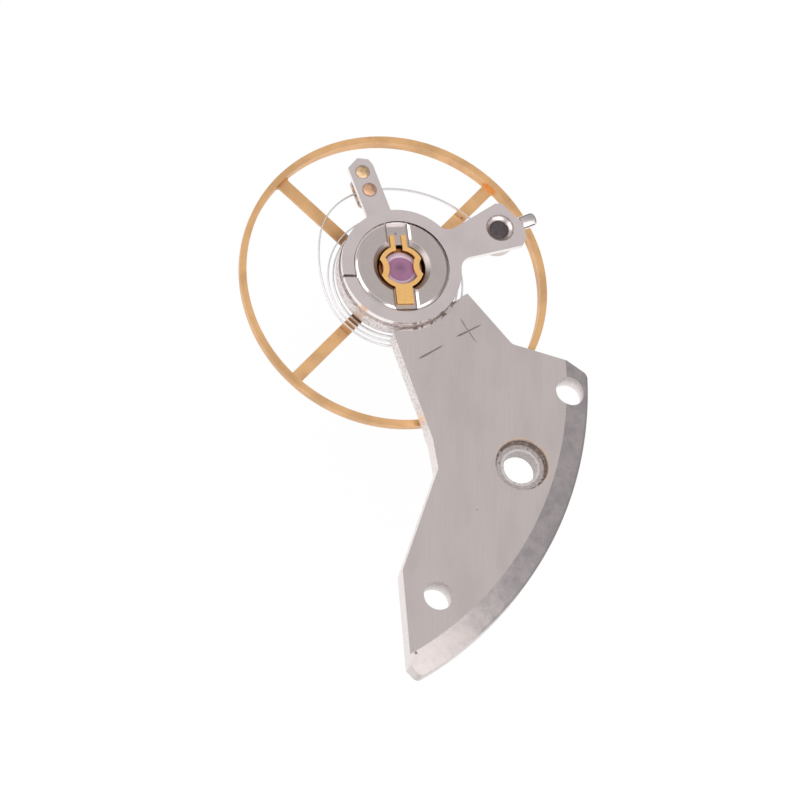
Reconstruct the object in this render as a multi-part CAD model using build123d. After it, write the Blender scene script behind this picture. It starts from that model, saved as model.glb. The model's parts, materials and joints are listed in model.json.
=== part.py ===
from build123d import *
import math
import os

# Balance complete with its cock, for a round wrist watch movement. Millimetres, +Z up.
# The origin is the axis of the cock's screw, in the plane of the seat that rests on the main plate.
# The balance staff stands on the +Y side, and the wheel hangs under the cock.

os.makedirs("parts", exist_ok=True)

overrun = 0.5              # how far every cutting tool runs past the piece it cuts
running_clearance = 0.03   # radial, where one piece turns in or round another
axial_gap = 0.015          # between flat faces that turn over each other
edge_break = 0.03          # polished bevel along the sharp top edges
match_tolerance = 0.003    # for picking out a corner by its place

# Cock plate
staff_distance = 7.6       # screw axis to balance staff axis
foot_thickness = 0.75
rim_radius = 12.4          # round outer side, about the middle of the movement
screw_to_rim = 1.8525      # from the screw's axis out to that side
middle_direction = 132.31  # from the screw's axis towards the middle of the movement
corner_run = 3.98          # along the round side, from beside the screw up to its corner
tip_run = 8.79             # and down to its tip
foot_depth = 4.317         # from the round side in to the waist
rim_bevel_width = 0.75
rim_bevel_drop = 0.22
waist_fillet = 0.25
boss_land = 0.07           # of the neck's round end, past the regulator's ring
shelf_gap = 0.22           # round the regulator's ring, to the step that it lies in
shelf_depth = 0.12
right_shoulder_land = 0.17  # from that step out to the neck's two corners
left_shoulder_land = 0.12
right_shoulder_angle = -47.8
left_shoulder_angle = -127.1
sink_depth = 0.10          # underside milled away over the wheel
sink_margin = 0.35         # from the wheel's edge to the wall of that sink
screw_hole_radius = 0.55
screw_head_radius = 0.86
screw_head_depth = 0.25
steady_hole_radius = 0.48
steady_hole_chamfer = 0.05
outer_hole_back = 0.712    # from the corner and the tip to the two steady holes, along the round side
inner_hole_back = 2.30
outer_hole_inset = 0.627   # and from the round side
inner_hole_inset = 1.779
# The neck's bends, as shares of the staff distance
inner_corner_shares = (0.291, 0.459)
neck_bend_shares = (-0.276, 0.474)
# The foot's corners, as shares of the run up to the corner or down to the tip, and of the foot's depth
corner_cut_shares = (1.0994, 0.1615)
waist_shares = (0.1942, 1.0)
heel_shares = (0.7840, 0.7288)
tip_cut_shares = (1.0118, 0.1125)

# Shock setting: a turned block in the cock, with a jewelled setting under a lyre spring
block_seat_radius = 1.2
block_radius = 1.525
block_lip_step = 0.03
block_lip_height = 0.10
block_chamfer = 0.09
block_height = 0.31        # of the block's top above the cock's top
block_bore_radius = 0.80
block_bore_chamfer = 0.15
block_floor = 0.235
staff_opening_radius = 0.36
slot_side_gap = 0.065      # beside the lyre spring's tab
slot_seat_gap = 0.02       # under the lyre spring, to the slot's floor
setting_gap = 0.08         # round the jewel setting, in the block's bore
setting_height = 0.43
setting_taper = 0.10
setting_wall = 0.14        # round the cap jewel
setting_ledge = 0.20       # that the cap jewel rests on
hole_jewel_thickness = 0.17
pivot_clearance = 0.02     # radial, in the hole jewel
oil_sink_radius = 0.22
oil_sink_depth = 0.06
cap_jewel_thickness = 0.24
cap_jewel_bevel_width = 0.14
cap_jewel_bevel_drop = 0.07
jewel_gap = 0.02
lift_travel = 0.05         # how far a knock can raise the setting
lyre_thickness = 0.08
lyre_gap = 0.055           # round the lyre spring, in the block's bore
lyre_band = 0.15
lyre_waist_band = 0.20     # at the two dents that press on the cap jewel
lyre_dent_distance = 1.03  # from the staff axis to the middle of each dent's circle
lyre_dent_radius = 0.43
lyre_prong_width = 0.165
lyre_prong_gap = 0.22
lyre_prong_end_gap = 0.415  # from the ends of the prongs and the tab to the block's side
lyre_tab_width = 0.57
lyre_tab_end_gap = 0.24
lyre_angle = 65.0

# Regulator: a ring in the cock's shelf, its index arm, a curb pin and a turning boot
regulator_thickness = 0.16
regulator_ring_width = 0.375
regulator_angle = 79.0
regulator_arm_width = 0.84
regulator_tip_length = 0.25  # from the arm's point back to its one side
regulator_heel_length = 0.36  # and to its other side, past a blunt heel
regulator_heel_end = 0.14
regulator_heel_width = 0.08
regulator_fillet = 0.30
curb_boot_distance = 2.885
curb_pin_spacing = 0.65    # from the boot's axis to the pin's
regulator_end_land = 0.51  # from the pin's axis to the arm's point
curb_head_radius = 0.225
curb_head_height = 0.05
curb_shank_radius = 0.10
boot_body_radius = 0.17
boot_foot_width = 0.36
boot_foot_thickness = 0.06

# Stud carrier: the split ring above the regulator, its arm, and the stud with its screw
carrier_thickness = 0.20
carrier_ring_width = 0.425
carrier_angle = -4.8
carrier_slit_angle = 163.4
carrier_slit_skew = -11.0   # from the ring's radius there
carrier_slit_width = 0.09
carrier_chamfer = 0.05
carrier_root_width = 0.90
carrier_end_width = 1.66
# The arm's blunt end, as shares of the land past the stud and of half the end's width
carrier_end_shares = (
    (0.445, -1.0), (0.171, -0.80), (0.03, -0.42), (0.0, -0.05), (0.174, 0.28), (0.41, 0.89), (0.67, 1.0),
)
carrier_fillet = 0.42
stud_distance = 3.66
stud_land = 0.77           # from the stud's axis to the arm's end
stud_radius = 0.30
stud_stem_radius = 0.22
stud_countersink = 0.15
stud_boss_radius = 0.66
stud_boss_height = 0.60
stud_screw_drop = 0.24     # of the screw's axis under the arm
stud_screw_radius = 0.13
stud_screw_head_radius = 0.235
stud_screw_head_length = 0.56
stud_screw_head_gap = 0.08
stud_screw_slot_width = 0.08
stud_screw_slot_depth = 0.12
stud_screw_slot_angle = 60.0
stud_tail = 0.06           # how far the stud reaches below the spring

# Hairspring: a flat strip wound clockwise outwards, held by pins in the collet and the stud
strip_thickness = 0.045
strip_height = 0.12
strip_drop = 0.22          # from the neck's underside to the strip
strip_bite = 0.15          # how deep the strip starts in the collet
strip_first_gap = 0.13     # from the collet to the strip after its first half turn
strip_coil_radius = 2.35   # where the last even coil ends
strip_coil_half_turns = 20
strip_coil_angle = 170.0
strip_bend_angle = 45.0    # how much of the outward bend is its first, flatter arc
strip_end_angle = 7.0      # how far the strip runs on past the stud
strip_slot_clearance = 0.03
pin_radius = 0.035
pin_length = 0.60

# Collet, wheel and staff
collet_radius = 0.55
collet_height = 0.34
collet_overlap = 0.06      # how far the collet stands above the strip
collet_slit_width = 0.07
wheel_radius = 5.1
wheel_rim_width = 0.22
wheel_rim_rise = 0.25      # of the rim above the spokes
wheel_rim_fall = 0.07      # and below them
wheel_rim_foot_taper = 0.07
wheel_rim_bevel = 0.035
spoke_count = 4
spoke_width = 0.40
spoke_thickness = 0.13
spoke_angle = 17.0
spoke_fillet = 0.12
hub_radius = 0.80
wheel_seat_radius = 0.38
collet_seat_radius = 0.25
staff_flange_radius = 0.62
staff_flange_height = 0.15
staff_neck_radius = 0.215
roller_seat_radius = 0.24
roller_seat_tail = 0.36    # of the roller seat below the safety roller
pivot_radius = 0.055
pivot_length = 0.26
pivot_cone_length = 0.20
lower_neck_length = 0.30

# Double roller
roller_radius = 1.20
roller_thickness = 0.20
roller_gap = 0.22          # from the staff's flange to the table
roller_hub_radius = 0.42
roller_hub_length = 0.34
safety_roller_radius = 0.55
safety_roller_thickness = 0.16
passing_hollow_radius = 0.22
impulse_jewel_inset = 0.27  # from the roller's edge to the jewel's axis
impulse_jewel_radius = 0.15
impulse_jewel_length = 0.62
impulse_jewel_flat_share = 0.35
roller_angle = 250.0

# Radii and reaches worked out from the sizes above
middle_x = (rim_radius - screw_to_rim) * math.cos(math.radians(middle_direction))
middle_y = (rim_radius - screw_to_rim) * math.sin(math.radians(middle_direction))
block_lip_radius = block_radius + block_lip_step
slot_width = lyre_tab_width + 2 * slot_side_gap
setting_radius = block_bore_radius - setting_gap
cap_jewel_radius = setting_radius - setting_wall
hole_jewel_radius = cap_jewel_radius - setting_ledge
jewel_hole_radius = pivot_radius + pivot_clearance
lyre_radius = block_bore_radius - lyre_gap
lyre_prong_end = block_radius - lyre_prong_end_gap
lyre_tab_end = block_radius - lyre_tab_end_gap
ring_bore_radius = block_radius + running_clearance
lip_bore_radius = block_lip_radius + 2 * running_clearance
regulator_ring_radius = ring_bore_radius + regulator_ring_width
carrier_ring_radius = ring_bore_radius + carrier_ring_width
boss_radius = regulator_ring_radius + boss_land
shelf_radius = regulator_ring_radius + shelf_gap
curb_pin_distance = curb_boot_distance + curb_pin_spacing
curb_distance = (curb_pin_distance + curb_boot_distance) / 2
regulator_reach = curb_pin_distance + regulator_end_land
carrier_reach = stud_distance + stud_land
strip_start_radius = collet_radius - strip_bite
strip_first_radius = collet_radius + strip_first_gap
impulse_jewel_distance = roller_radius - impulse_jewel_inset

# Heights worked out from the sizes above
cock_top = foot_thickness
shelf_floor = cock_top - shelf_depth
neck_underside = sink_depth
regulator_bottom = shelf_floor + axial_gap
regulator_top = regulator_bottom + regulator_thickness
carrier_bottom = regulator_top + axial_gap
carrier_top = carrier_bottom + carrier_thickness
block_top = cock_top + block_height
block_floor_top = neck_underside + block_floor
setting_bottom = block_floor_top + axial_gap
hole_jewel_bottom = setting_bottom + setting_taper / 2
hole_jewel_top = hole_jewel_bottom + hole_jewel_thickness
cap_jewel_bottom = hole_jewel_top + jewel_gap
cap_jewel_top = cap_jewel_bottom + cap_jewel_thickness
lyre_bottom = cap_jewel_top + lift_travel + axial_gap
slot_floor = lyre_bottom - slot_seat_gap
staff_top = cap_jewel_bottom - axial_gap
strip_top = neck_underside - strip_drop
strip_bottom = strip_top - strip_height
strip_middle = strip_top - strip_height / 2
boot_foot_top = strip_bottom - 2 * axial_gap
stud_bottom = strip_bottom - stud_tail
collet_top = strip_top + collet_overlap
collet_bottom = collet_top - collet_height
spoke_top = collet_bottom
spoke_bottom = spoke_top - spoke_thickness
wheel_rim_top = spoke_top + wheel_rim_rise
wheel_rim_bottom = spoke_bottom - wheel_rim_fall
flange_bottom = spoke_bottom - staff_flange_height
roller_top = flange_bottom - roller_gap
roller_bottom = roller_top - roller_thickness
safety_top = roller_bottom - roller_hub_length
safety_bottom = safety_top - safety_roller_thickness
lower_neck_top = safety_bottom - roller_seat_tail
staff_bottom = lower_neck_top - lower_neck_length - pivot_cone_length - pivot_length
stud_screw_height = carrier_bottom - stud_screw_drop
staff_axis = Pos(0, staff_distance, 0)


def disc(radius, bottom, top):
    """A plain upright disc about the staff axis, before it is moved there."""
    return Pos(0, 0, bottom) * extrude(Circle(radius), top - bottom)


def turned(points):
    """A turned piece about the Z axis from its half section, given as radius and height."""
    half_section = Plane.XZ * make_face(Polyline(*points, close=True))
    return revolve(half_section, Axis.Z)


def place(radius, angle):
    """A point at a radius and an angle about the staff axis, as a flat pair."""
    return (radius * math.cos(math.radians(angle)), radius * math.sin(math.radians(angle)))


def at_angle(angle):
    """Turns what is drawn along +X to lie at an angle about the staff axis."""
    return Rot(0, 0, angle)


def neck_point(shares):
    """A bend of the cock's neck, from its shares of the staff distance."""
    return (shares[0] * staff_distance, shares[1] * staff_distance)


def shoulder_point(land, angle):
    """A corner of the neck beside the regulator's shelf."""
    x, y = place(shelf_radius + land, angle)
    return (x, staff_distance + y)


def foot_point(run, inset):
    """A point of the foot: along the round side from beside the screw, and in from that side."""
    turn = math.radians(middle_direction) - math.pi + run / rim_radius
    reach = rim_radius - inset
    return (middle_x + reach * math.cos(turn), middle_y + reach * math.sin(turn))


def foot_corner(run, shares):
    """A corner of the foot, from its shares of a run along the round side and of the foot's depth."""
    return foot_point(shares[0] * run, shares[1] * foot_depth)


def cock_outline():
    """The plate seen from above: foot, waist and neck, and the round end about the staff."""
    corner = foot_point(corner_run, 0)
    belly = foot_point((corner_run - tip_run) / 2, 0)
    tip = foot_point(-tip_run, 0)
    waist = foot_corner(-tip_run, waist_shares)
    inner_corner = neck_point(inner_corner_shares)
    outline = Polyline(
        tip,
        foot_corner(-tip_run, tip_cut_shares),
        foot_corner(-tip_run, heel_shares),
        waist,
        neck_point(neck_bend_shares),
        shoulder_point(left_shoulder_land, left_shoulder_angle),
        shoulder_point(right_shoulder_land, right_shoulder_angle),
        inner_corner,
        foot_corner(corner_run, corner_cut_shares),
        corner,
    )
    plate = make_face([ThreePointArc(corner, belly, tip), outline])
    plate = fillet([corner_of(plate, waist), corner_of(plate, inner_corner)], waist_fillet)
    return plate + Pos(0, staff_distance, 0) * Circle(boss_radius)


def steady_hole_points():
    """The middles of the two steady holes."""
    outer = foot_point(corner_run - outer_hole_back, outer_hole_inset)
    inner = foot_point(inner_hole_back - tip_run, inner_hole_inset)
    return [outer, inner]


def corner_of(face, point):
    """The vertex of a flat shape that lies nearest to a point."""
    return face.vertices().sort_by_distance((point[0], point[1], 0))[0]


def rim_bevel():
    """The ring that cuts the wide bevel along the round outer side."""
    slope = rim_bevel_drop / rim_bevel_width
    inner = rim_radius - rim_bevel_width
    outer = rim_radius + overrun
    drop_at_outer = slope * (outer - inner)
    section = Polyline(
        (inner - overrun, cock_top + slope * overrun),
        (outer, cock_top - drop_at_outer),
        (outer, cock_top + overrun),
        (inner - overrun, cock_top + overrun),
        close=True,
    )
    return Pos(middle_x, middle_y, 0) * revolve(Plane.XZ * make_face(section), Axis.Z)


def balance_cock():
    """Flat plate with the screw hole, two steady holes, the shelf and the block's seat."""
    plate = extrude(cock_outline(), foot_thickness)
    plate = chamfer(plate.faces().sort_by(Axis.Z)[-1].edges(), edge_break)
    plate -= rim_bevel()
    sink_radius = wheel_radius + sink_margin
    plate -= staff_axis * disc(sink_radius, -overrun, sink_depth)
    plate -= staff_axis * disc(shelf_radius, shelf_floor, cock_top + overrun)
    plate -= staff_axis * disc(block_seat_radius, -overrun, cock_top + overrun)
    plate -= disc(screw_hole_radius, -overrun, cock_top + overrun)
    plate -= disc(screw_head_radius, cock_top - screw_head_depth, cock_top + overrun)
    for x, y in steady_hole_points():
        plate -= Pos(x, y, 0) * disc(steady_hole_radius, -overrun, cock_top + overrun)
        wide = steady_hole_radius + steady_hole_chamfer
        mouth = turned([
            (0, 0),
            (steady_hole_radius, steady_hole_chamfer),
            (wide, 0),
            (wide, -overrun),
            (0, -overrun),
        ])
        plate -= Pos(x, y, 0) * mouth
    return plate


def shock_block():
    """Turned block pressed into the cock, slotted across for the lyre spring."""
    lip_bottom = block_top - block_lip_height
    body = turned([
        (staff_opening_radius, neck_underside),
        (block_seat_radius, neck_underside),
        (block_seat_radius, shelf_floor),
        (block_radius, shelf_floor),
        (block_radius, lip_bottom - block_lip_radius + block_radius),
        (block_lip_radius, lip_bottom),
        (block_lip_radius, block_top - block_chamfer),
        (block_lip_radius - block_chamfer, block_top),
        (block_bore_radius + block_bore_chamfer, block_top),
        (block_bore_radius, block_top - block_bore_chamfer),
        (block_bore_radius, block_floor_top + setting_taper),
        (block_bore_radius - setting_taper, block_floor_top),
        (staff_opening_radius, block_floor_top),
    ])
    slot = extrude(Rectangle(2 * block_lip_radius + overrun, slot_width), block_top + overrun - slot_floor)
    return staff_axis * (body - at_angle(lyre_angle) * Pos(0, 0, slot_floor) * slot)


def jewel_setting():
    """Small turned cup that carries the two jewels and sits on the block's cone."""
    cup = turned([
        (hole_jewel_radius - edge_break, setting_bottom),
        (setting_radius - setting_taper, setting_bottom),
        (setting_radius, setting_bottom + setting_taper),
        (setting_radius, setting_bottom + setting_height),
        (cap_jewel_radius, setting_bottom + setting_height),
        (cap_jewel_radius, cap_jewel_bottom),
        (hole_jewel_radius, cap_jewel_bottom),
        (hole_jewel_radius, hole_jewel_bottom),
        (hole_jewel_radius - edge_break, hole_jewel_bottom),
    ])
    return staff_axis * cup


def hole_jewel():
    """Pierced jewel for the upper pivot, with its oil sink."""
    jewel = turned([
        (jewel_hole_radius, hole_jewel_bottom),
        (hole_jewel_radius, hole_jewel_bottom),
        (hole_jewel_radius, hole_jewel_top),
        (oil_sink_radius, hole_jewel_top),
        (jewel_hole_radius, hole_jewel_top - oil_sink_depth),
    ])
    return staff_axis * jewel


def cap_jewel():
    """Cap jewel with a flat top and a wide bevel, over the end of the pivot."""
    jewel = turned([
        (0, cap_jewel_bottom),
        (cap_jewel_radius, cap_jewel_bottom),
        (cap_jewel_radius, cap_jewel_top - cap_jewel_bevel_drop),
        (cap_jewel_radius - cap_jewel_bevel_width, cap_jewel_top),
        (0, cap_jewel_top),
    ])
    return staff_axis * jewel


def shock_spring():
    """Lyre spring: a waisted band, two prongs to one side and a hinged tab to the other."""
    band = Circle(lyre_radius)
    window = Circle(lyre_radius - lyre_band)
    for side in (-1, 1):
        dent = Pos(0, side * lyre_dent_distance, 0)
        band -= dent * Circle(lyre_dent_radius)
        window -= dent * Circle(lyre_dent_radius + lyre_waist_band)
    root = lyre_radius - lyre_band / 2
    prong_offset = (lyre_prong_gap + lyre_prong_width) / 2
    prong_length = lyre_prong_end - root
    for side in (-1, 1):
        band += Pos(root + prong_length / 2, side * prong_offset, 0) * Rectangle(prong_length, lyre_prong_width)
    tab_length = lyre_tab_end - root
    band += Pos(-root - tab_length / 2, 0, 0) * Rectangle(tab_length, lyre_tab_width)
    band -= window
    band -= Pos(lyre_radius, 0, 0) * Rectangle(2 * lyre_band + overrun, lyre_prong_gap)
    spring = Pos(0, 0, lyre_bottom) * extrude(band, lyre_thickness)
    return staff_axis * at_angle(lyre_angle) * spring


def fillet_at_ring(outline, ring_radius, radius):
    """Rounds the two hollow corners where an arm grows out of its ring."""
    corners = []
    for vertex in outline.vertices():
        on_ring = abs(math.hypot(vertex.X, vertex.Y) - ring_radius) < match_tolerance
        if on_ring and vertex.X > 0:
            corners.append(vertex)
    return fillet(corners, radius)


def regulator():
    """Ring in the cock's shelf with the index arm and its pointed end."""
    half = regulator_arm_width / 2
    arm = make_face(Polyline(
        (ring_bore_radius, -half),
        (regulator_reach - regulator_heel_length, -half),
        (regulator_reach - regulator_heel_end, -half + regulator_heel_width),
        (regulator_reach, 0),
        (regulator_reach - regulator_tip_length, half),
        (ring_bore_radius, half),
        close=True,
    ))
    outline = fillet_at_ring(Circle(regulator_ring_radius) + arm, regulator_ring_radius, regulator_fillet)
    outline -= Circle(ring_bore_radius)
    outline -= Pos(curb_pin_distance, 0, 0) * Circle(curb_shank_radius)
    outline -= Pos(curb_boot_distance, 0, 0) * Circle(curb_shank_radius + running_clearance)
    blank = extrude(outline, regulator_thickness)
    blank = chamfer(blank.faces().sort_by(Axis.Z)[-1].outer_wire().edges(), edge_break)
    return staff_axis * at_angle(regulator_angle) * Pos(0, 0, regulator_bottom) * blank


def curb_pin():
    """Riveted outer curb pin, with its head on the index arm."""
    pin = turned([
        (0, strip_bottom),
        (curb_shank_radius, strip_bottom),
        (curb_shank_radius, regulator_top),
        (curb_head_radius, regulator_top),
        (curb_head_radius, regulator_top + curb_head_height / 2),
        (curb_head_radius - curb_head_height, regulator_top + curb_head_height),
        (0, regulator_top + curb_head_height),
    ])
    return staff_axis * at_angle(regulator_angle) * Pos(curb_pin_distance, 0, 0) * pin


def curb_boot():
    """Turning boot: a headed pivot with a foot that closes the gap under the strip."""
    collar = regulator_bottom - axial_gap
    pivot = turned([
        (0, boot_foot_top - boot_foot_thickness),
        (boot_body_radius, boot_foot_top - boot_foot_thickness),
        (boot_body_radius, boot_foot_top),
        (curb_shank_radius, boot_foot_top),
        (curb_shank_radius, strip_top + strip_height),
        (boot_body_radius, strip_top + strip_height),
        (boot_body_radius, collar),
        (curb_shank_radius, collar),
        (curb_shank_radius, regulator_top + axial_gap),
        (curb_head_radius, regulator_top + axial_gap),
        (curb_head_radius, regulator_top + curb_head_height / 2),
        (curb_head_radius - curb_head_height, regulator_top + curb_head_height),
        (0, regulator_top + curb_head_height),
    ])
    foot_length = curb_pin_distance - curb_boot_distance
    foot = Pos(foot_length / 2, 0, 0) * SlotCenterToCenter(foot_length, boot_foot_width)
    foot = Pos(0, 0, boot_foot_top - boot_foot_thickness) * extrude(foot, boot_foot_thickness)
    return staff_axis * at_angle(regulator_angle) * Pos(curb_boot_distance, 0, 0) * (pivot + foot)


def stud_carrier():
    """Split ring over the regulator with the flared arm that holds the stud."""
    root = carrier_root_width / 2
    end = carrier_end_width / 2
    points = [(ring_bore_radius, -root)]
    for back, side in carrier_end_shares:
        points.append((carrier_reach - back * stud_land, side * end))
    points.append((ring_bore_radius, root))
    arm = make_face(Polyline(*points, close=True))
    outline = fillet_at_ring(Circle(carrier_ring_radius) + arm, carrier_ring_radius, carrier_fillet)
    blank = extrude(outline, carrier_thickness)
    blank = chamfer(blank.faces().sort_by(Axis.Z)[-1].edges(), carrier_chamfer)
    blank += Pos(stud_distance, 0, -stud_boss_height) * extrude(Circle(stud_boss_radius), stud_boss_height)
    blank -= disc(ring_bore_radius, -overrun, carrier_thickness + overrun)
    lip_room = carrier_bottom - block_top + block_lip_height + block_lip_radius - block_radius
    blank -= disc(lip_bore_radius, -lip_room - axial_gap, carrier_thickness + overrun)
    mouth = stud_radius + stud_countersink
    blank -= Pos(stud_distance, 0, 0) * turned([
        (0, -stud_boss_height - overrun),
        (stud_radius, -stud_boss_height - overrun),
        (stud_radius, carrier_thickness - stud_countersink),
        (mouth, carrier_thickness),
        (mouth, carrier_thickness + overrun),
        (0, carrier_thickness + overrun),
    ])
    screw_way = Rot(0, 90, 0) * extrude(Circle(stud_screw_radius), carrier_reach)
    blank -= Pos(stud_distance, 0, stud_screw_height - carrier_bottom) * screw_way
    slit = Rot(0, 0, carrier_slit_skew) * Box(carrier_ring_radius, carrier_slit_width, carrier_reach)
    slit = Pos(carrier_ring_radius, 0, 0) * slit
    blank -= at_angle(carrier_slit_angle - carrier_angle) * slit
    return staff_axis * at_angle(carrier_angle) * Pos(0, 0, carrier_bottom) * blank


def strip_arcs():
    """The hairspring's line as arcs: (centre, radius, start angle, turn) from collet to stud."""
    arcs = []
    angle = strip_coil_angle + 180 * (strip_coil_half_turns + 1)
    radii = [strip_start_radius]
    step = (strip_coil_radius - strip_first_radius) / strip_coil_half_turns
    for count in range(strip_coil_half_turns + 1):
        radii.append(strip_first_radius + count * step)
    for inner, outer in zip(radii[:-1], radii[1:]):
        mean = (inner + outer) / 2
        arcs.append((place(inner - mean, angle), mean, angle, -180))
        angle -= 180
    first = math.radians(strip_bend_angle)
    spread = (curb_distance - strip_coil_radius) / (math.sin(first) + math.cos(first) - 1)
    flat_radius = strip_coil_radius + spread * math.cos(first)
    tight_radius = curb_distance - spread * math.sin(first)
    arcs.append((place(strip_coil_radius - flat_radius, angle), flat_radius, angle, -strip_bend_angle))
    angle -= 90
    tight_turn = 90 - strip_bend_angle
    arcs.append((place(curb_distance - tight_radius, angle), tight_radius, angle + tight_turn, -tight_turn))
    offset, last_radius, sweep_angle = outer_arc(angle)
    arcs.append((place(-offset, angle), last_radius, angle, -sweep_angle))
    return arcs


def outer_arc(angle):
    """The last arc, from the curb to a little past the stud: offset, radius and turn."""
    turn = math.radians(angle - carrier_angle)
    drop = stud_distance ** 2 - curb_distance ** 2
    offset = drop / (2 * (curb_distance - stud_distance * math.cos(turn)))
    radius = curb_distance + offset
    x, y = place(stud_distance, angle - carrier_angle)
    seen = math.degrees(math.atan2(y, x + offset))
    return offset, radius, seen + strip_end_angle


def strip_edges():
    """The hairspring's line as joined edges in the plane of its middle height."""
    edges = []
    for centre, radius, start, turn in strip_arcs():
        edges.append(CenterArc((centre[0], centre[1], 0), radius, start, turn))
    return edges


def report_strip():
    """Prints the spring's length, radii and the least gap between neighbouring turns."""
    points = []
    length = 0
    steps = 30
    for centre, radius, start, turn in strip_arcs():
        for step in range(steps):
            angle = math.radians(start + turn * step / steps)
            x = centre[0] + radius * math.cos(angle)
            y = centre[1] + radius * math.sin(angle)
            points.append((x, y, length + radius * math.radians(abs(turn)) * step / steps))
        length += radius * math.radians(abs(turn))
    least = staff_distance
    for here in points:
        for there in points:
            if there[2] - here[2] > 2 * strip_first_radius:
                least = min(least, math.dist(here[:2], there[:2]))
    print("hairspring length %.1f, least gap between turns %.3f" % (length, least - strip_thickness))
    print("its tightest radius %.2f" % min(arc[1] for arc in strip_arcs()))


def hairspring():
    """One unbroken flat strip swept along its arcs."""
    path = Wire(strip_edges())
    start = path @ 0
    heading = path % 0
    section_plane = Plane(origin=start, x_dir=heading.cross(Vector(0, 0, 1)), z_dir=heading)
    section = section_plane * Rectangle(strip_thickness, strip_height)
    return staff_axis * Pos(0, 0, strip_middle) * sweep(section, path=path)


def strip_slot(arc, clearance):
    """The room that one arc of the strip takes, with a clearance all round."""
    centre, radius, start, turn = arc
    half = strip_thickness / 2 + clearance
    height = strip_height + 2 * clearance
    ring = extrude(Circle(radius + half) - Circle(radius - half), height)
    return Pos(centre[0], centre[1], strip_middle - height / 2) * ring


def hairspring_collet():
    """Split collet on the staff, slotted for the inner end of the strip."""
    collet = disc(collet_radius, collet_bottom, collet_top) - disc(collet_seat_radius, collet_bottom, collet_top)
    collet = chamfer(collet.edges().filter_by(GeomType.CIRCLE).sort_by(SortBy.RADIUS)[-2:], edge_break)
    slit_length = collet_radius + overrun
    slit = Box(slit_length, collet_slit_width, 2 * collet_height)
    slit_angle = strip_coil_angle + 90
    collet -= at_angle(slit_angle) * Pos(slit_length / 2, 0, (collet_top + collet_bottom) / 2) * slit
    room = strip_slot(strip_arcs()[0], strip_slot_clearance)
    inner_half = at_angle(strip_coil_angle + 180) * Pos(0, -collet_radius, 0)
    room &= inner_half * Box(2 * collet_radius, 2 * collet_radius, 4 * collet_height)
    return staff_axis * (collet - room - pin_hole(collet_pin_place()))


def collet_pin():
    """Taper pin that wedges the strip's inner end in the collet."""
    return held_pin(collet_pin_place())


def collet_pin_place():
    """Where the collet pin lies: beside the strip's first arc, along its tangent."""
    x, y = place(strip_start_radius + strip_thickness / 2 + pin_radius, strip_coil_angle + 180)
    return Pos(x, y, strip_middle) * Rot(0, 0, strip_coil_angle + 90)


def pin_hole(location):
    """The drilled way for such a pin."""
    return location * Rot(0, 90, 0) * extrude(Circle(pin_radius), pin_length, both=True)


def held_pin(location):
    """A small round pin lying along +X of a location about the staff axis."""
    pin = Rot(0, 90, 0) * extrude(Circle(pin_radius), pin_length / 2, both=True)
    return staff_axis * location * pin


def hairspring_stud():
    """Stud in the carrier's arm, with the slot for the strip through its stem."""
    stud = turned([
        (0, stud_bottom),
        (stud_stem_radius, stud_bottom),
        (stud_stem_radius, carrier_bottom - stud_boss_height),
        (stud_radius, carrier_bottom - stud_boss_height),
        (stud_radius, carrier_top - stud_countersink),
        (stud_radius - edge_break, carrier_top - stud_countersink + edge_break),
        (0, carrier_top - stud_countersink + edge_break),
    ])
    x, y = place(stud_distance, carrier_angle)
    stud = Pos(x, y, 0) * stud
    stud -= strip_slot(strip_arcs()[-1], strip_slot_clearance)
    return staff_axis * (stud - pin_hole(stud_pin_place()))


def stud_pin_place():
    """Where the stud pin lies: beside the strip, across the stud's stem."""
    x, y = place(stud_distance + strip_thickness / 2 + strip_slot_clearance + pin_radius, carrier_angle)
    return Pos(x, y, strip_middle) * Rot(0, 0, carrier_angle + 90)


def stud_pin():
    """Taper pin that wedges the strip's outer end in the stud."""
    return held_pin(stud_pin_place())


def stud_screw():
    """Slotted screw in the end of the carrier's arm that clamps the stud."""
    tip = stud_distance + stud_radius
    under_head = carrier_reach + stud_screw_head_gap
    end = under_head + stud_screw_head_length
    screw = Rot(0, 90, 0) * turned([
        (0, tip),
        (stud_screw_radius, tip),
        (stud_screw_radius, under_head),
        (stud_screw_head_radius - edge_break, under_head),
        (stud_screw_head_radius, under_head + edge_break),
        (stud_screw_head_radius, end - 2 * edge_break),
        (stud_screw_head_radius - 2 * edge_break, end),
        (0, end),
    ])
    slot_run = 4 * stud_screw_head_radius
    slot = Pos(end, 0, 0) * Box(2 * stud_screw_slot_depth, stud_screw_slot_width, slot_run)
    screw -= Rot(stud_screw_slot_angle, 0, 0) * slot
    return staff_axis * at_angle(carrier_angle) * Pos(0, 0, stud_screw_height) * screw


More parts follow.
